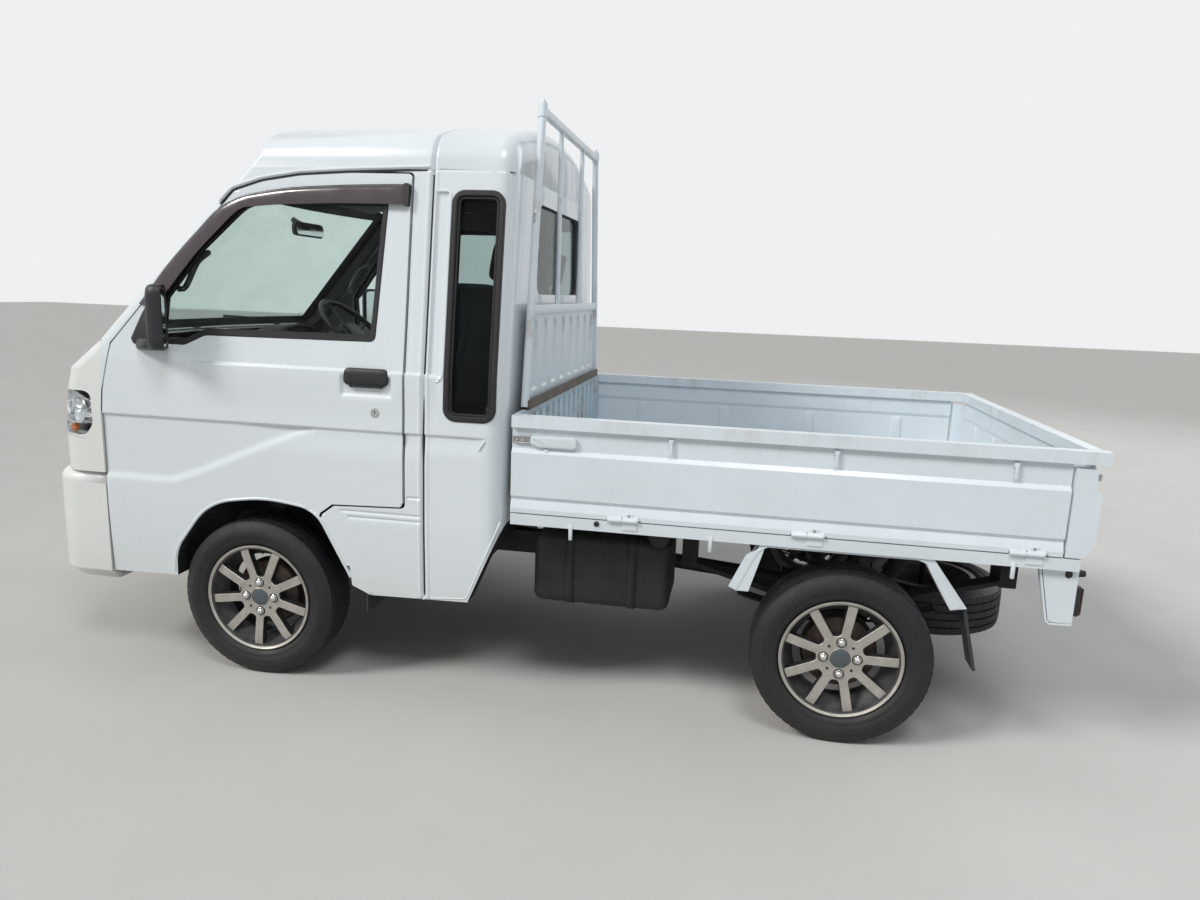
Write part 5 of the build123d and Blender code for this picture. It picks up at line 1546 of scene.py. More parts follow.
def make_bed_details():
    """Pegs, latches, hinges, floor ribs and stiffening ribs of the load bed."""
    hw = half_width * 1000
    for side_name, sign in sides:
        gate = f"gate_{side_name}"

        def place(p, inset):
            """Place of a side-view point at a distance inside the bed's half width."""
            return at(p.x, sign * (hw - inset), p.y)

        bm = bmesh.new()
        for x in (-1362, -1836, -2317):
            stack(bm, tapered(x, 5, 903, 4.5, 858, 2, 20), ((8, 0), (3.5, 0), (2.2, 1.2)), place)
            box(bm, at(x - 8, sign * (hw - 15), 893), at(x + 8, sign * (hw - 7), 906))
        # Latch: base plate with its loop, broad lever and two bolts
        base = oblong(-878, -1000, 862, 889, 5, 30)
        prism(bm, [place(p, 15) for p in base], (0, sign * 0.003, 0), index=1)
        loop = oblong(-884, -946, 866, 886, 6, 6)
        tube(bm, [place(p, 8.5) for p in loop], 0.0028, 8, closed=True, index=1)
        lever = rounded(
            [(-936, 864), (-962, 855), (-1070, 855), (-1079, 862), (-1079, 884), (-1068, 891), (-936, 888)],
            [6, 14, 6, 5, 5, 6, 6], 30,
        )
        steps = ((13, 0), (4.5, 0), (2.6, 1.2), (1.8, 3.5), (1.6, 9))
        stack(bm, even(lever, 64), steps, place)
        for x in (-893, -915):
            bolt(bm, at(x, sign * (hw - 12), 875), (0, sign * 0.005, 0), [0.006, 0.005])
        bump = [(0.0005, 0.006), (0.007, 0.0045), (0.010, 0.0015), (0.0105, -0.002), (0.0005, -0.002)]
        middle = at(-985, sign * (hw - 13), 842)
        lathe(bm, [(r, a * sign) for r, a in bump], middle, 24, 0, "Y", False)
        # Stop lug under the rail at the rear
        box(bm, at(-2330, sign * (hw - 16), 700), at(-2322, sign * (hw - 6), 716))
        finish_mesh(f"gate_fittings_{side_name}", gate, bm, [guard_paint, worn_steel], 40, bevel=0.001)
        # Barrel hinges on the joint between gate and sill: two knuckles, pin and leaf
        bm = bmesh.new()
        hinge_y, hinge_z = sign * (hw - 4), 652
        for x in (-1226, -1770, -2368):
            for low, high in ((x - 50, x - 2), (x + 2, x + 44)):
                barrel = [at(k, hinge_y, hinge_z) for k in (low, low + 1.5, high - 1.5, high)]
                tube(bm, barrel, [0.0085, 0.0100, 0.0100, 0.0085], 20)
            pin = [at(k, hinge_y, hinge_z) for k in (x - 56, x + 48)]
            tube(bm, pin, 0.0042, 12, index=1)
            leaf = oblong(x - 34, x - 6, 648, 672, 5, 20)
            stack(bm, leaf, ((8, 0), (2.2, 0), (1.4, 1)), place)
            bolt(bm, at(x - 20, sign * (hw - 2.4), 665), (0, sign * 0.0035, 0), [0.005, 0.0042])
        finish_mesh(f"gate_hinges_{side_name}", gate, bm, [guard_paint, worn_steel], 40)
        # Stiffening ribs pressed into the inner face
        bm = bmesh.new()
        for x in (-1100, -1480, -1860, -2240):
            stack(bm, tapered(x, 26, 706, 20, 829, 10, 30), rib_steps, place)
        finish_mesh(f"gate_ribs_{side_name}", gate, bm, bed_paint, 40)
        # Rope pegs under the sill, a plug in it and the folded edge of the rear wheel guard
        bm = bmesh.new()
        for x in (-1068, -1493, -2340):
            stack(bm, tapered(x, 6, 622, 5, 573, 2, 20), ((9, 0), (3, 0), (1.8, 1.2)), place)
        plug = [at(-1148, sign * (hw - d), 632) for d in (8, 1.5, -0.5)]
        tube(bm, plug, [0.0085, 0.0085, 0.006], 18, index=1)
        guard = [
            (-1578, 462), (-1622, 560), (-1640, 590), (-1662, 603), (-2084, 603), (-2110, 594),
            (-2195, 463),
        ]
        edge = rounded(guard, [0, 40, 20, 20, 20, 20, 0], 12, closed=False)
        # Its section: share of its width, distance inside the bed's half width
        section = [(0, 11), (0, 8.5), (0.22, 7.4), (0.4, 8.6), (0.62, 7.2), (0.8, 8.4), (1, 8.0), (1, 11)]
        rows = []
        for p, way in with_ways(edge, False):
            along = way.normalized()
            inward = Vector((along.y, -along.x))
            wide = 6 + 20 * smooth(596, 560, p.y)
            rows.append([place(p + inward * wide * t, d) for t, d in section])
        bridge(bm, rows, caps=True)
        finish_mesh(f"sill_pegs_{side_name}", "chassis", bm, [guard_paint, rubber], 50)
    # Floor: pressed ribs running along the truck
    bm = bmesh.new()
    for y in range(-600, 601, 120):
        rib = oblong(-2440, -905, y - 17, y + 17, 16, 60)
        stack(bm, rib, ((654, 0), (658.6, 3), (659.6, 7)), lambda p, z: at(p.x, p.y, z))
    finish_mesh("bed_ribs", "chassis", bm, bed_inside, 50)
    # Tailgate: handles at both ends, hinge plates with their bolts, and inner ribs
    bm = bmesh.new()
    x = -2545
    for sign in (1, -1):
        base = oblong(sign * 640, sign * 560, 857, 887, 5, 30)
        prism(bm, [facing(p, x + 7) for p in base], (-0.004, 0, 0))
        lever = rounded([(sign * 700, 862), (sign * 580, 858), (sign * 572, 872), (sign * 700, 882)], 5, 30)
        prism(bm, [facing(p, x + 3) for p in lever], (-0.006, 0, 0))
        tube(bm, [at(x + 2, sign * 690, 870), at(x + 2, sign * 600, 869)], 0.007, 12)
        for y in (566, 632):
            bolt(bm, at(x + 4, sign * y, 872), (-0.006, 0, 0), [0.006, 0.005])
    for y in (-450, 0, 450):
        box(bm, at(-2551.5, y - 44, 655), at(-2549, y + 44, 678))
        for shift in (-34, -12, 12, 34):
            bolt(bm, at(-2549, y + shift, 668), (-0.0045, 0, 0), [0.0055, 0.0045], 0)
    finish_mesh("tailgate_fittings", "tailgate", bm, [guard_paint, worn_steel], 40, bevel=0.0008)
    bm = bmesh.new()
    for y in (-520, -260, 0, 260, 520):
        rib = tapered(y, 26, 706, 20, 829, 10, 30)
        stack(bm, rib, rib_steps, lambda p, inset: facing(p, inset - 2544))
    finish_mesh("tailgate_ribs", "tailgate", bm, bed_paint, 40)


guard_x = -883.5


def make_guard():
    """Guard frame: posts with pins, beam, inner bars and the arched pressings of its panel."""
    x = guard_x
    post_low, post_high, beam_z = 958, 1898, 1873
    bar_y, bar_heights = 187, (1274, 1300, 1500, 1846, 1866)

    def crossbar(section, half, z=0):
        """Bar across the truck, of a side-view section about the guard's plane."""
        bridge(bm, [[at(x + p[0], y, z + p[1]) for p in section] for y in (-half, half)], caps=True)

    bm = bmesh.new()
    for sign in (1, -1):
        low, high = at(x, sign * 609, post_low), at(x, sign * 459.5, post_high)
        tube(bm, [low, high], 0.0125, 24)
        pin = (high - low).normalized()
        tube(bm, [high - pin * 0.004, high + pin * 0.008], [0.0095, 0.008], 16)
        place = low.lerp(high, (beam_z - post_low) / (post_high - post_low))
        tube(bm, [place - pin * 0.02, place + pin * 0.02], 0.0148, 24)
        bar = [at(x, sign * bar_y, z) for z in bar_heights]
        tube(bm, bar, [0.0085, 0.0085, 0.0085, 0.0085, 0.0095], 18)
        # Hook on the outside of each post
        base = low.lerp(high, 0.62) + Vector((0, sign * 0.012, 0))
        hook = ((0, 0), (0.014, 0.002), (0.017, 0.016), (0.003, 0.024))
        tube(bm, [base + Vector((0, sign * out, up)) for out, up in hook], 0.004, 10)
    crossbar(oblong(-11, 11, -13, 13, 4, 30), 462, beam_z)
    band = [(-10, 1246), (8, 1246), (10, 1250), (10, 1272), (6, 1276), (-10, 1276)]
    crossbar(rounded(band, 2, 30), 562)
    finish_mesh("guard_bars", "chassis", bm, guard_paint, 40)
    # Panel with arched pressings
    bm = bmesh.new()
    count_y, count_z = 264, 70
    panel_low, panel_high = 972, 1250
    arch_half, arch_foot, arch_top = 33, 1004, 1196
    rows = []
    for j in range(count_z + 1):
        z = panel_low + (panel_high - panel_low) * j / count_z
        half = 600 + (558 - 600) * (z - panel_low) / (panel_high - panel_low)
        row = []
        for i in range(count_y + 1):
            y = -half + 2 * half * i / count_y
            dy = min(abs(y + 490 - 140 * k) for k in range(8))
            if z > arch_top:
                away = hypot(dy, z - arch_top) - arch_half
            elif z < arch_foot:
                away = max(dy - arch_half, arch_foot - z)
            else:
                away = dy - arch_half
            row.append(at(x + 1.5 + 8 * smooth(4, -10, away), y, z))
        rows.append(row)
    bridge(bm, rows, closed=False)
    panel = finish_mesh("guard_panel", "chassis", bm, guard_paint, 50)
    solidify(panel, 0.002)
    bm = bmesh.new()
    crossbar([(-16, 950), (16, 950), (16, 953), (-12, 953), (-12, 980), (-16, 980)], 614)
    for y in range(-560, 561, 280):
        bolt(bm, at(x + 4, y, 953), (0, 0, 0.006), [0.0075, 0.0065], 0)
    foot = finish_mesh("guard_foot", "chassis", bm, rusty_steel, 40)
    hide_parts("guard_frame")
    for obj in (panel, foot):
        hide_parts("guard_frame")


def make_tail_lamps():
    """Lamp clusters with three lenses, and the brackets that carry them."""
    for side_name, sign in sides:

        def rearward(p, x):
            """Place of a point of the lamp's face (outward, height) at a distance along the truck."""
            return at(x, sign * p.x, p.y)

        def beside(p, y):
            """Place of a side-view point at a distance out from the middle."""
            return at(p.x, sign * y, p.y)

        bm = bmesh.new()
        y0, y1 = 541, 714
        house = oblong(y0, y1, 470, 560, 8, 60)
        stack(bm, house, ((-2519.5, 1), (-2530, 0), (-2533, 2)), rearward)
        for a, b, index in ((0.0, 0.42, 1), (0.42, 0.74, 2), (0.74, 1.0, 3)):
            lens = oblong(y0 + (y1 - y0) * a + 3, y0 + (y1 - y0) * b - 2, 474, 556, 5, 60)
            stack(bm, lens, ((-2532, 0), (-2538.5, 0.5), (-2540.6, 3)), rearward, index)
        materials = [black_trim, lens_red, lens_orange, lens_clear]
        obj = finish_mesh(f"tail_lamp_{side_name}", "chassis", bm, materials, 40)
        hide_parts("tail_lamps")
        bm = bmesh.new()
        plate = rounded([(-2422, 609), (-2456, 450), (-2519, 450), (-2519, 609)], [0, 12, 4, 0])
        stack(bm, even(plate, 64), ((715, 0), (700, 0)), beside)
        hole = oblong(-2501, -2485, 585, 605, 8, 5)
        stack(bm, hole, ((715.6, -2), (716.4, -0.5), (715.2, 1)), beside, 1)
        lip = rounded([(-2416, 612), (-2450, 452), (-2462, 444), (-2519, 446)], [0, 10, 6, 0], closed=False)
        sweep(bm, [beside(p, 714) for p in lip], [Vector((0, sign, 0))] * len(lip), bead(-18, 1.6, 3, 1))
        obj = finish_mesh(f"lamp_bracket_{side_name}", "chassis", bm, [guard_paint, rubber], 30)
        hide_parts("lamp_brackets")
        bm = bmesh.new()
        place = at(-2536, sign * 700, 596)
        tube(bm, [place + Vector((0.018, 0, 0)), place + Vector((-0.004, 0, 0))], [0.012, 0.009], 18)
        finish_mesh(f"gate_stop_{side_name}", "chassis", bm, rubber, 40)


# Cab inside


def cushion_mesh(bm, place, size, crown, pull, channels=(), bolster=0.0, count=(36, 36), power=3.2):
    """Crowned closed cushion. place maps (across, along, up) metres to a point."""
    half_a, half_l, height = size
    rows_a, rows_l = count
    channel_depth = 0.007

    def top(u, v):
        edge = (1 - abs(u) ** power) * (1 - abs(v) ** power)
        rise = crown * max(0.0, edge) ** 0.5
        rise += bolster * smooth(0.62, 0.86, abs(u)) * max(0.0, 1 - abs(v) ** 4)
        for kind, where in channels:
            value = u if kind == "u" else v
            gap = abs(value - where) * (half_a if kind == "u" else half_l)
            rise -= channel_depth * max(0.0, 1 - gap / 0.012) ** 0.7 * min(1.0, edge * 4)
        return rise

    def ring_point(u, v, w):
        """w from 0 at the base to 1 at the top edge."""
        tuck = 1 - pull * (4 * (w - 0.5) ** 2) ** 1.5
        corner = 1 - 0.06 * abs(u) ** 6 * abs(v) ** 6
        return place(u * half_a * tuck * corner, v * half_l * tuck * corner, height * w)

    grid = {}
    for i in range(rows_a + 1):
        for j in range(rows_l + 1):
            u, v = 2 * i / rows_a - 1, 2 * j / rows_l - 1
            tuck = (1 - pull) * (1 - 0.06 * abs(u) ** 6 * abs(v) ** 6)
            grid[i, j] = bm.verts.new(place(u * half_a * tuck, v * half_l * tuck, height + top(u, v)))
    for i in range(rows_a):
        for j in range(rows_l):
            bm.faces.new((grid[i, j], grid[i + 1, j], grid[i + 1, j + 1], grid[i, j + 1]))
    border = [(i, 0) for i in range(rows_a)] + [(rows_a, j) for j in range(rows_l)]
    border += [(i, rows_l) for i in range(rows_a, 0, -1)] + [(0, j) for j in range(rows_l, 0, -1)]
    last = [grid[key] for key in border]
    steps = 6
    for k in range(steps - 1, -1, -1):
        w = k / steps
        ring = []
        for i, j in border:
            ring.append(bm.verts.new(ring_point(2 * i / rows_a - 1, 2 * j / rows_l - 1, w)))
        for a in range(len(ring)):
            b = (a + 1) % len(ring)
            bm.faces.new((last[a], last[b], ring[b], ring[a]))
        last = ring
    bm.faces.new(last)
    return [ring_point(2 * i / rows_a - 1, 2 * j / rows_l - 1, 1.0) for i, j in border]


def make_seats():
    """Seats: base pans, crowned cushions with sewn channels, backs, head rests and belts."""
    for side_name, sign in sides:
        y0 = sign * 0.345
        made = []
        # Lower cushion
        def low(a, l, h):
            """Place in the lower cushion: across, along and up from its middle, in metres."""
            return at(-269, 0, 700) + Vector((l, y0 + a, h - 0.02 * l))

        bm = bmesh.new()
        channels = (("u", -0.6), ("u", 0.6), ("v", -0.2), ("v", 0.35))
        edge = cushion_mesh(bm, low, (0.232, 0.240, 0.085), 0.022, 0.035, channels, 0.016)
        cushion = finish_mesh(f"seat_cushion_{side_name}", "chassis", bm, seat_fabric, 60, subdivide=1)
        made.append(cushion)
        bm = bmesh.new()
        tube(bm, edge, 0.0035, 8, closed=True)
        finish_mesh(f"seat_piping_{side_name}", "chassis", bm, cab_plastic, 60)
        # Back rest
        lean = Vector((-0.185, 0, 0.983)).normalized()
        front = Vector((lean.z, 0, -lean.x))

        def back(a, l, h):
            """Place in the back rest: across, up along it and forward."""
            narrow = 1 - 0.1 * smooth(-0.05, 0.26, l)
            return at(-652, 0, 1068) + Vector((0, y0 + a * narrow, 0)) + lean * l + front * h

        bm = bmesh.new()
        channels = (("u", -0.6), ("u", 0.6), ("v", -0.45), ("v", 0.05), ("v", 0.5))
        edge = cushion_mesh(bm, back, (0.222, 0.262, 0.085), 0.02, 0.035, channels, 0.018)
        rest = finish_mesh(f"seat_back_{side_name}", "chassis", bm, seat_fabric, 60, subdivide=1)
        made.append(rest)
        bm = bmesh.new()
        tube(bm, edge, 0.0035, 8, closed=True)
        finish_mesh(f"back_piping_{side_name}", "chassis", bm, cab_plastic, 60)

        def head(a, l, h):
            """Place in the head rest, as in the back rest."""
            return at(-768, 0, 1405) + Vector((0, y0 + a, 0)) + lean * l + front * h

        bm = bmesh.new()
        cushion_mesh(bm, head, (0.116, 0.066, 0.05), 0.012, 0.12, (), 0.0, (24, 16), 2.6)
        pillow = finish_mesh(f"head_rest_{side_name}", "chassis", bm, seat_fabric, 60, subdivide=1)
        made.append(pillow)
        bm = bmesh.new()
        for shift in (-0.05, 0.05):
            base = at(-742, 0, 1318) + Vector((0, y0 + shift, 0))
            tube(bm, [base, base + lean * 0.05], 0.006, 12)
        finish_mesh(f"head_posts_{side_name}", "chassis", bm, chrome, 40)
        bm = bmesh.new()
        pan = oblong(-0.205, 0.205, -0.225, 0.225, 0.03, 0.1)
        steps = ((656, 0.0), (690, 0.004), (702, 0.012))
        stack(bm, pan, steps, lambda p, z: at(-269, 0, z) + Vector((p.y, y0 + p.x, 0)))
        for shift in (-0.17, 0.17):
            y = (y0 + shift) * 1000
            box(bm, at(-500, y - 18, 655.5), at(-40, y + 18, 668))
        finish_mesh(f"seat_pan_{side_name}", "chassis", bm, cab_plastic, 40)
        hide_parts("seats")
        for obj in made[1:]:
            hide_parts("seats")
        # Belt on the pillar, its guide and the buckle
        bm = bmesh.new()
        points = [
            at(-560, sign * 612, 1490), at(-566, sign * 640, 1200), at(-570, sign * 652, 900),
            at(-575, sign * 655, 700),
        ]
        wide, thick = Vector((0.022, 0, 0)), Vector((0, sign * 0.0015, 0))
        rows = [[p - wide, p - wide + thick, p + wide + thick, p + wide] for p in spline(points, 16)]
        bridge(bm, rows, caps=True)
        box(bm, at(-590, sign * 606 - 8, 1480), at(-540, sign * 606 + 8, 1506), 1)
        box(bm, at(-600, sign * 618 - 16, 690), at(-545, sign * 618 + 16, 790), 1)
        finish_mesh(f"belt_{side_name}", "chassis", bm, [trim_grey, cab_plastic], 40, bevel=0.001)


def make_dashboard():
    """Dashboard with its hood, instruments, vents, radio, glove box and switches."""
    bm = bmesh.new()
    # Section: place ahead of the axle, height
    section = rounded(
        [
            (640, 770), (560, 765), (470, 800), (428, 880), (404, 985), (402, 1035), (424, 1078),
            (520, 1092), (636, 1090), (650, 1060), (650, 1000),
        ],
        [0, 30, 60, 60, 30, 26, 26, 60, 10, 0, 0], 25,
    )
    rings = []
    stations = [0, 100, 200, 300, 400, 500, 550, 600, 632, 636]
    stations = [-y for y in stations[:0:-1]] + stations
    for y in stations:
        shrink = 8 if abs(y) > 634 else 2 if abs(y) > 620 else 0
        curve = 75 * (y / 600) ** 2
        rings.append([at(p.x - curve * smooth(480, 640, p.x), y, p.y) for p in grown(section, -shrink)])
    bridge(bm, rings, caps=True)
    board = finish_mesh("dash_board", "chassis", bm, cab_plastic, 40)
    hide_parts("dashboard")
    bm = bmesh.new()
    # Instrument hood over the driver's side
    arch = []
    for k in range(13):
        t = pi * k / 12
        arch.append((-345 - 152 * cos(t), 1076 + 56 * sin(t) ** 0.6))
    outer = [[at(x, y, z - drop) for y, z in arch] for x, drop in ((408, 0), (460, -2), (540, 8), (600, 34))]
    bridge(bm, outer, closed=False)
    hood = finish_mesh("dash_hood", "chassis", bm, cab_plastic, 50)
    solidify(hood, 0.008)
    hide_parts("dashboard")
    bm = bmesh.new()
    cluster = rounded([(-480, 1010), (-210, 1010), (-222, 1118), (-468, 1118)], 22, 30)
    stack(bm, cluster, ((452, 0), (424, 0), (420, 4), (436, 9), (440, 12)), facing)
    for y, r in ((-300, 36), (-385, 36), (-440, 20)):
        rim = r / 1000
        ring = [(0.0005, 0.0), (rim - 0.003, 0.0), (rim, -0.004), (rim + 0.002, 0.003), (0.0005, 0.003)]
        lathe(bm, ring, at(438, y, 1064), 32, 1, "X", False)
        tube(bm, [at(436.5, y, 1064), at(436.5, y + r * 0.5, 1064 + r * 0.45)], 0.0011, 6, index=2)
        for k in range(9):
            a = radians(-120 + 30 * k)
            mark = at(437, y + sin(a) * r * 0.82, 1064 + cos(a) * r * 0.82)
            box(bm, mark - Vector((0.0008, 0.001, 0.002)), mark + Vector((0.0008, 0.001, 0.002)), 2)
    finish_mesh("instruments", "chassis", bm, [cab_plastic, rubber, headliner], 40)
    bm = bmesh.new()
    for y in (-575, -120, 120, 575):
        vent = oblong(y - 42, y + 42, 990, 1052, 10, 30)
        stack(bm, vent, ((412, 0), (399, 0), (397, 3), (405, 6)), facing)
        for z in range(998, 1048, 9):
            box(bm, at(398, y - 35, z - 1), at(408, y + 35, z + 2.5), 1)
    # Radio and heater with their knobs, and the glove box
    stack(bm, oblong(-92, 92, 890, 950, 4, 30), ((433, 0), (406, 0), (404, 2)), facing)
    for y in (-70, 70):
        tube(bm, [at(412, y, 925), at(393, y, 925)], [0.011, 0.0095], 24, index=1)
    stack(bm, oblong(-92, 92, 825, 882, 4, 30), ((449, 0), (426, 0), (424, 2)), facing)
    for y in (-60, 0, 60):
        tube(bm, [at(430, y, 853), at(408, y, 853)], [0.016, 0.014], 28, index=1)
    stack(bm, oblong(170, 520, 850, 965, 14, 40), ((442, 0), (414, 0), (411, 3)), facing)
    box(bm, at(407, 320, 940), at(412, 370, 955), 1)
    finish_mesh("dash_fittings", "chassis", bm, [cab_plastic, rubber], 35)


def make_steering():
    """Steering wheel with its pad and stalks."""
    axis = Vector((-cos(radians(47)), 0, sin(radians(47))))
    centre = at(150, -345, 1120)
    across = Vector((0, 1, 0))
    up = axis.cross(across).normalized()

    def place(a, b, c):
        """Place on the wheel: across, up its face and towards the driver, in metres."""
        return centre + across * a + up * b + axis * c

    bm = bmesh.new()
    ring = [place(0.172 * cos(t), 0.172 * sin(t), 0) for t in (2 * pi * k / 96 for k in range(96))]
    tube(bm, ring, 0.0125, 16, closed=True, across=tuple(axis))
    for angle in (-12, 192, 270):
        t = radians(angle)
        width_a = 0.017 if angle == 270 else 0.021
        rings = []
        # Spoke: distance from the hub, share of its width, depth
        spoke = ((0.03, 1.3, -0.026), (0.06, 1.1, -0.024), (0.11, 0.85, -0.014), (0.165, 0.8, -0.002))
        for r, w, depth in spoke:
            middle = place(r * cos(t), r * sin(t), depth)
            side = (across * -sin(t) + up * cos(t)) * width_a * w
            lift = axis * 0.006
            rings.append([
                middle - side - lift, middle + side - lift, middle + side * 0.8 + lift,
                middle - side * 0.8 + lift,
            ])
        bridge(bm, rings, caps=True)
    pad = rounded(
        [(-0.062, -0.05), (0.062, -0.05), (0.07, 0.03), (0.03, 0.05), (-0.03, 0.05), (-0.07, 0.03)],
        0.02, 0.012,
    )
    steps = ((-0.044, 0.012), (-0.03, 0.0), (-0.008, 0.0), (0.0, 0.004), (0.005, 0.014))
    stack(bm, pad, steps, lambda p, c: place(p.x, p.y, c))
    wheel = finish_mesh("steering_wheel_made", "steering_wheel", bm, black_trim, 40, subdivide=1)
    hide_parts("steering_wheel")
    bm = bmesh.new()
    for side in (1, -1):
        stalk = ((0.02, 0.0, -0.062), (0.09, 0.012, -0.058), (0.15, 0.02, -0.052))
        tube(bm, [place(side * a, b, c) for a, b, c in stalk], [0.007, 0.006, 0.009], 12)
    finish_mesh("stalks", "chassis", bm, cab_plastic, 50)


def make_cab_fittings():
    """Rear-view mirror, visors, grab handles, pedals, levers, floor mat, lining and door cards."""
    bm = bmesh.new()
    glass_hit, _ = glass_front.front(0, 1560)
    mirror = Vector((glass_hit.x - 0.075, 0, 1.525))
    foot = Vector((glass_hit.x - 0.008, 0, 1.56))
    tube(bm, [foot, mirror + Vector((0.02, 0, 0.012))], [0.011, 0.008], 12)
    frame_line = rounded([(-0.105, -0.032), (0.105, -0.032), (0.112, 0.022), (-0.112, 0.022)], 0.02, 0.02)
    steps = ((0.018, 0.016), (0.012, 0.003), (-0.004, 0.0), (-0.007, 0.003))
    stack(bm, frame_line, steps, lambda p, d: mirror + Vector((d, p.x, p.y)))
    steps = ((-0.0066, 0.006), (-0.0082, 0.007))
    stack(bm, frame_line, steps, lambda p, d: mirror + Vector((d, p.x, p.y)), 1)
    finish_mesh("inside_mirror", "chassis", bm, [cab_plastic, mirror_glass], 40)
    for side_name, sign in sides:
        bm = bmesh.new()
        shade_line = oblong(-0.17, 0.17, -0.068, 0.068, 0.025, 0.05)
        top, _ = glass_front.front(sign * 300, 1640)
        middle = top + Vector((-0.095, 0, 0.012))
        slope = Vector((-0.8, 0, 0.2)).normalized()
        steps = ((-0.011, 0.01), (-0.007, 0.0), (0.007, 0.0), (0.011, 0.01))
        stack(bm, shade_line, steps, lambda p, h: middle + Vector((0, p.x, h)) + slope * p.y)
        finish_mesh(f"sun_visor_{side_name}", "chassis", bm, headliner, 50)
        # Grab handle on the front pillar
        bm = bmesh.new()
        points = [
            at(208, sign * 612, 1392), at(206, sign * 590, 1402), at(250, sign * 586, 1370),
            at(292, sign * 592, 1290), at(300, sign * 618, 1282),
        ]
        tube(bm, spline(points, 20), 0.0095, 12)
        finish_mesh(f"grab_handle_{side_name}", "chassis", bm, trim_grey, 50)
        # Door card with arm rest, pull and winder
        def lining(p, depth):
            """Place of a side-view point at a distance inside the cab's side."""
            return at(p.x, sign * (side_y(p.y) - depth), p.y)

        door = f"door_{side_name}"
        bm = bmesh.new()
        card = rounded(
            [
                (440, 680), (440, 1090), (330, 1118), (-480, 1128), (-480, 690), (-260, 680), (-60, 690),
                (160, 690),
            ],
            [20, 40, 20, 12, 20, 20, 40, 40], 40,
        )
        stack(bm, card, ((69.5, 0), (76, 1), (78, 5)), lining)
        rest = rounded([(60, 905), (-330, 905), (-345, 955), (60, 950)], 14, 40)
        stack(bm, rest, ((76, 0), (118, 2), (124, 9)), lining)
        hub = at(120, sign * (side_y(850) - 78), 850)
        tube(bm, [hub, hub - Vector((0, sign * 0.018, 0))], [0.016, 0.014], 20, index=1)
        arm = [hub - Vector((0, sign * 0.014, 0)), hub + Vector((-0.11, -sign * 0.02, -0.02))]
        tube(bm, arm, 0.006, 10, index=1, flat=1.4)
        knob = [hub + Vector((-0.105, -sign * out, -0.019)) for out in (0.018, 0.052)]
        tube(bm, knob, [0.008, 0.011], 14, index=1)
        finish_mesh(f"door_card_{side_name}", door, bm, [trim_grey, cab_plastic], 40)
    # Roof lining
    bm = bmesh.new()
    rows = []
    for x in range(-790, -40, 50):
        row = []
        for k in range(21):
            y = -560 + 56 * k
            drop = 62 + 55 * (abs(y) / 560) ** 4 + 70 * smooth(-320, -90, x)
            row.append(at(x, y, 1862 - drop))
        rows.append(row)
    bridge(bm, rows, closed=False)
    solidify(finish_mesh("roof_lining", "chassis", bm, headliner, 60), 0.004)
    # Mat over the front floor, pedals, gear lever and hand brake
    bm = bmesh.new()
    mat = rounded(
        [(370, -600), (370, 600), (640, 600), (700, 400), (700, -400), (640, -600)],
        [10, 10, 40, 60, 60, 40], 60,
    )
    bridge(bm, [[at(p.x, p.y, z) for p in mat] for z in (490.5, 496)], caps=True)
    finish_mesh("floor_mat", "chassis", bm, rubber, 40)
    bm = bmesh.new()
    for y, wide in ((-240, 26), (-330, 30), (-440, 24)):
        arm = [at(650, y, 760), at(610, y, 690), at(575, y, 620)]
        tube(bm, spline(arm, 8), 0.007, 10)
        face = oblong(y - wide, y + wide, 590, 650, 8, 20)
        stack(bm, face, ((582, 0), (574, 0), (571, 3)), facing, 1)
    finish_mesh("pedals", "chassis", bm, [chassis_black, rubber], 40)
    bm = bmesh.new()
    boot = [
        (0.05, 0.0), (0.046, 0.012), (0.036, 0.03), (0.026, 0.045), (0.014, 0.06), (0.0105, 0.07),
        (0.0005, 0.07),
    ]
    lathe(bm, boot, at(30, 0, 656), 32, 0, "Z", False)
    tube(bm, [at(30, 0, 715), at(50, 0, 850), at(80, 0, 960)], [0.007, 0.006, 0.006], 14, index=1)
    knob = [
        (0.0005, 0.035), (0.014, 0.031), (0.022, 0.016), (0.022, 0.0), (0.014, -0.018), (0.008, -0.026),
        (0.0005, -0.026),
    ]
    lathe(bm, knob, at(83, 0, 975), 28, 0, "Z", False)
    tube(bm, [at(-180, -60, 672), at(-60, -60, 740), at(20, -60, 775)], [0.013, 0.011, 0.014], 16, flat=1.3)
    finish_mesh("levers", "chassis", bm, [cab_plastic, chrome], 50)


# Underneath


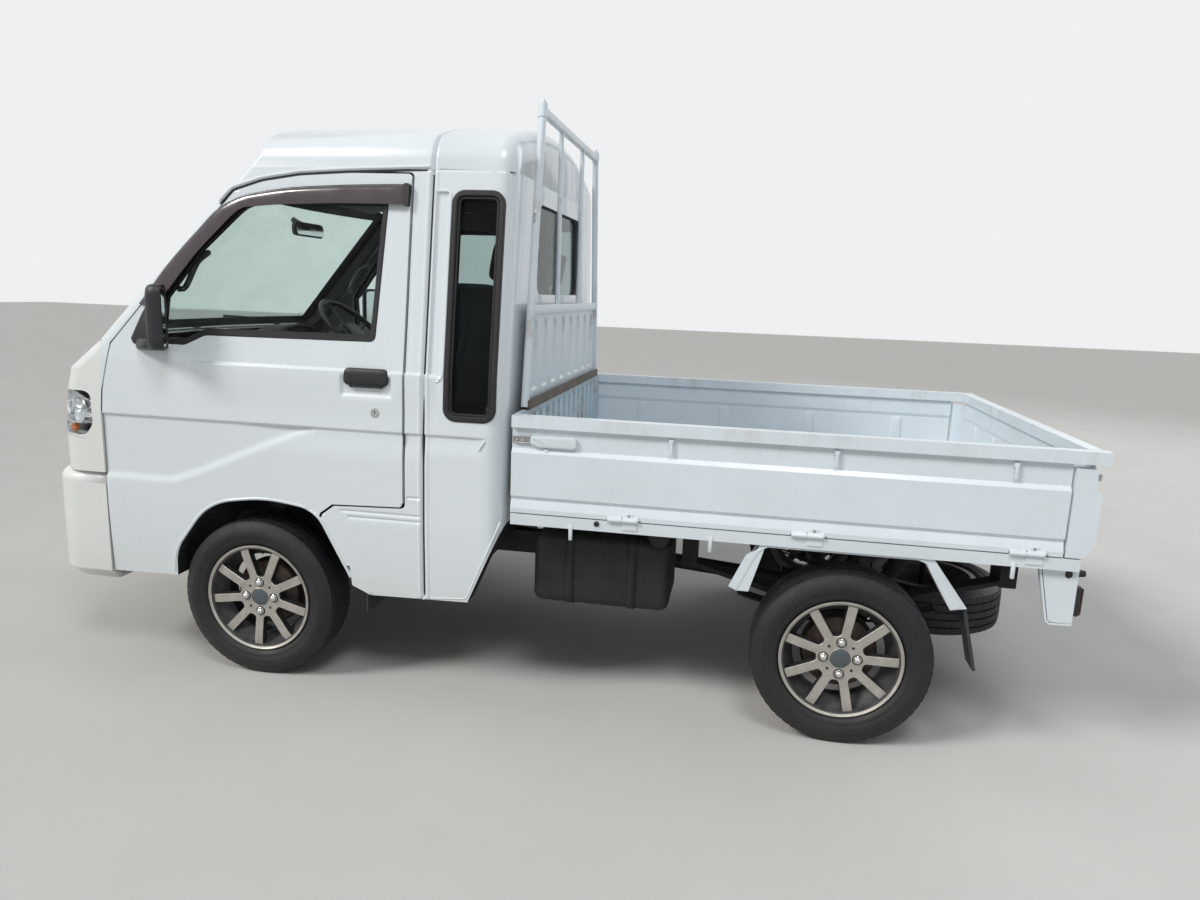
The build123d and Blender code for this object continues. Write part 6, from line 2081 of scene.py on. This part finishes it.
def make_underbody():
    """Dampers, leaves, pipes, arch liners, tank straps and the exhaust run."""
    bm = bmesh.new()
    spring_x = -1900
    for sign in (1, -1):
        # Spring leaves stacked below the main one, their clips and the axle bolts
        for level in range(1, 4):
            reach = 420 - 105 * level
            rows = []
            for k in range(-8, 9):
                x = spring_x + reach * k / 8
                t = (x - spring_x) / 500
                z = 306 + 125 * t * t - 9.5 * level + 8
                rows.append([at(x, sign * y, z + h) for y, h in ((398, -4), (452, -4), (452, 4), (398, 4))])
            bridge(bm, rows, caps=True)
        for x in (spring_x - 38, spring_x + 38):
            clip = ((392, 385), (392, 240), (458, 240), (458, 385))
            tube(bm, [at(x, sign * y, z) for y, z in clip], 0.006, 10)
        box(bm, at(-1955, sign * 425 - 42, 226), at(-1845, sign * 425 + 42, 236))
        # Damper
        tube(bm, [at(-1990, sign * 360, 300), at(-2080, sign * 330, 430)], 0.022, 20)
        tube(bm, [at(-2080, sign * 330, 430), at(-2140, sign * 312, 520)], [0.028, 0.028], 20)
    finish_mesh("leaf_springs", "chassis", bm, chassis_black, 40)
    bm = bmesh.new()
    pipe = [at(-560, -210, 420), at(-760, -300, 400), at(-900, -440, 400), at(-962, -480, 400)]
    tube(bm, spline(pipe, 24), 0.021, 18)
    pipe = [
        at(-1398, -480, 400), at(-1500, -470, 420), at(-1700, -470, 520), at(-1950, -480, 530),
        at(-2200, -500, 440), at(-2380, -520, 380), at(-2440, -525, 372),
    ]
    tube(bm, spline(pipe, 48), 0.019, 18)
    finish_mesh("exhaust_run", "chassis", bm, rusty_steel, 50)
    bm = bmesh.new()
    for x in (-1050, -1250):
        strap = oblong(341, 643, 327, 563, 32, 30)
        bridge(bm, [[at(x + d, p.x, p.y) for p in strap] for d in (-14, 14)])
    solidify(finish_mesh("tank_straps", "chassis", bm, chassis_black, 30), 0.0025)
    bm = bmesh.new()
    neck = [at(-1290, 560, 545), at(-1320, 620, 580), at(-1335, 668, 590)]
    tube(bm, neck, [0.024, 0.022, 0.024], 18)
    tube(bm, [at(-1335, 664, 590), at(-1337, 686, 592)], [0.034, 0.032], 24)
    for sign in (1, -1):
        for y, z in ((290, 480), (284, 470)):
            run = ((-760, 0), (-1000, 60), (-1500, 70), (-1880, -60))
            tube(bm, [at(x, sign * y, z + rise) for x, rise in run], 0.0035, 8)
    box(bm, at(-560, 360, 330), at(-330, 560, 470))
    box(bm, at(-520, -560, 380), at(-300, -360, 480))
    finish_mesh("fuel_neck", "chassis", bm, chassis_black, 40, bevel=0.004)
    # Liners inside the front wheel arches
    for side_name, sign in sides:
        bm = bmesh.new()
        arch = rounded(
            [(300, 340), (282, 440), (150, 604), (-50, 634), (-232, 610), (-352, 380)],
            [0, 150, 200, 500, 110, 0], 25, closed=False,
        )
        rows = [[at(p.x, sign * y, p.y) for p in arch] for y in (395, 560, 700, 716)]
        bridge(bm, rows, closed=False)
        solidify(finish_mesh(f"arch_liner_{side_name}", "chassis", bm, flap_rubber, 40), 0.003)


make_camera()
make_stage()
make_wheels()
make_panels()
for side_name, sign in sides:
    make_side_trim(side_name, sign)
    make_mirror(side_name, sign)
make_windscreen_trim()
make_headlamps()
make_bumper()
make_bed_details()
make_guard()
make_tail_lamps()
make_seats()
make_dashboard()
make_steering()
make_cab_fittings()
make_underbody()
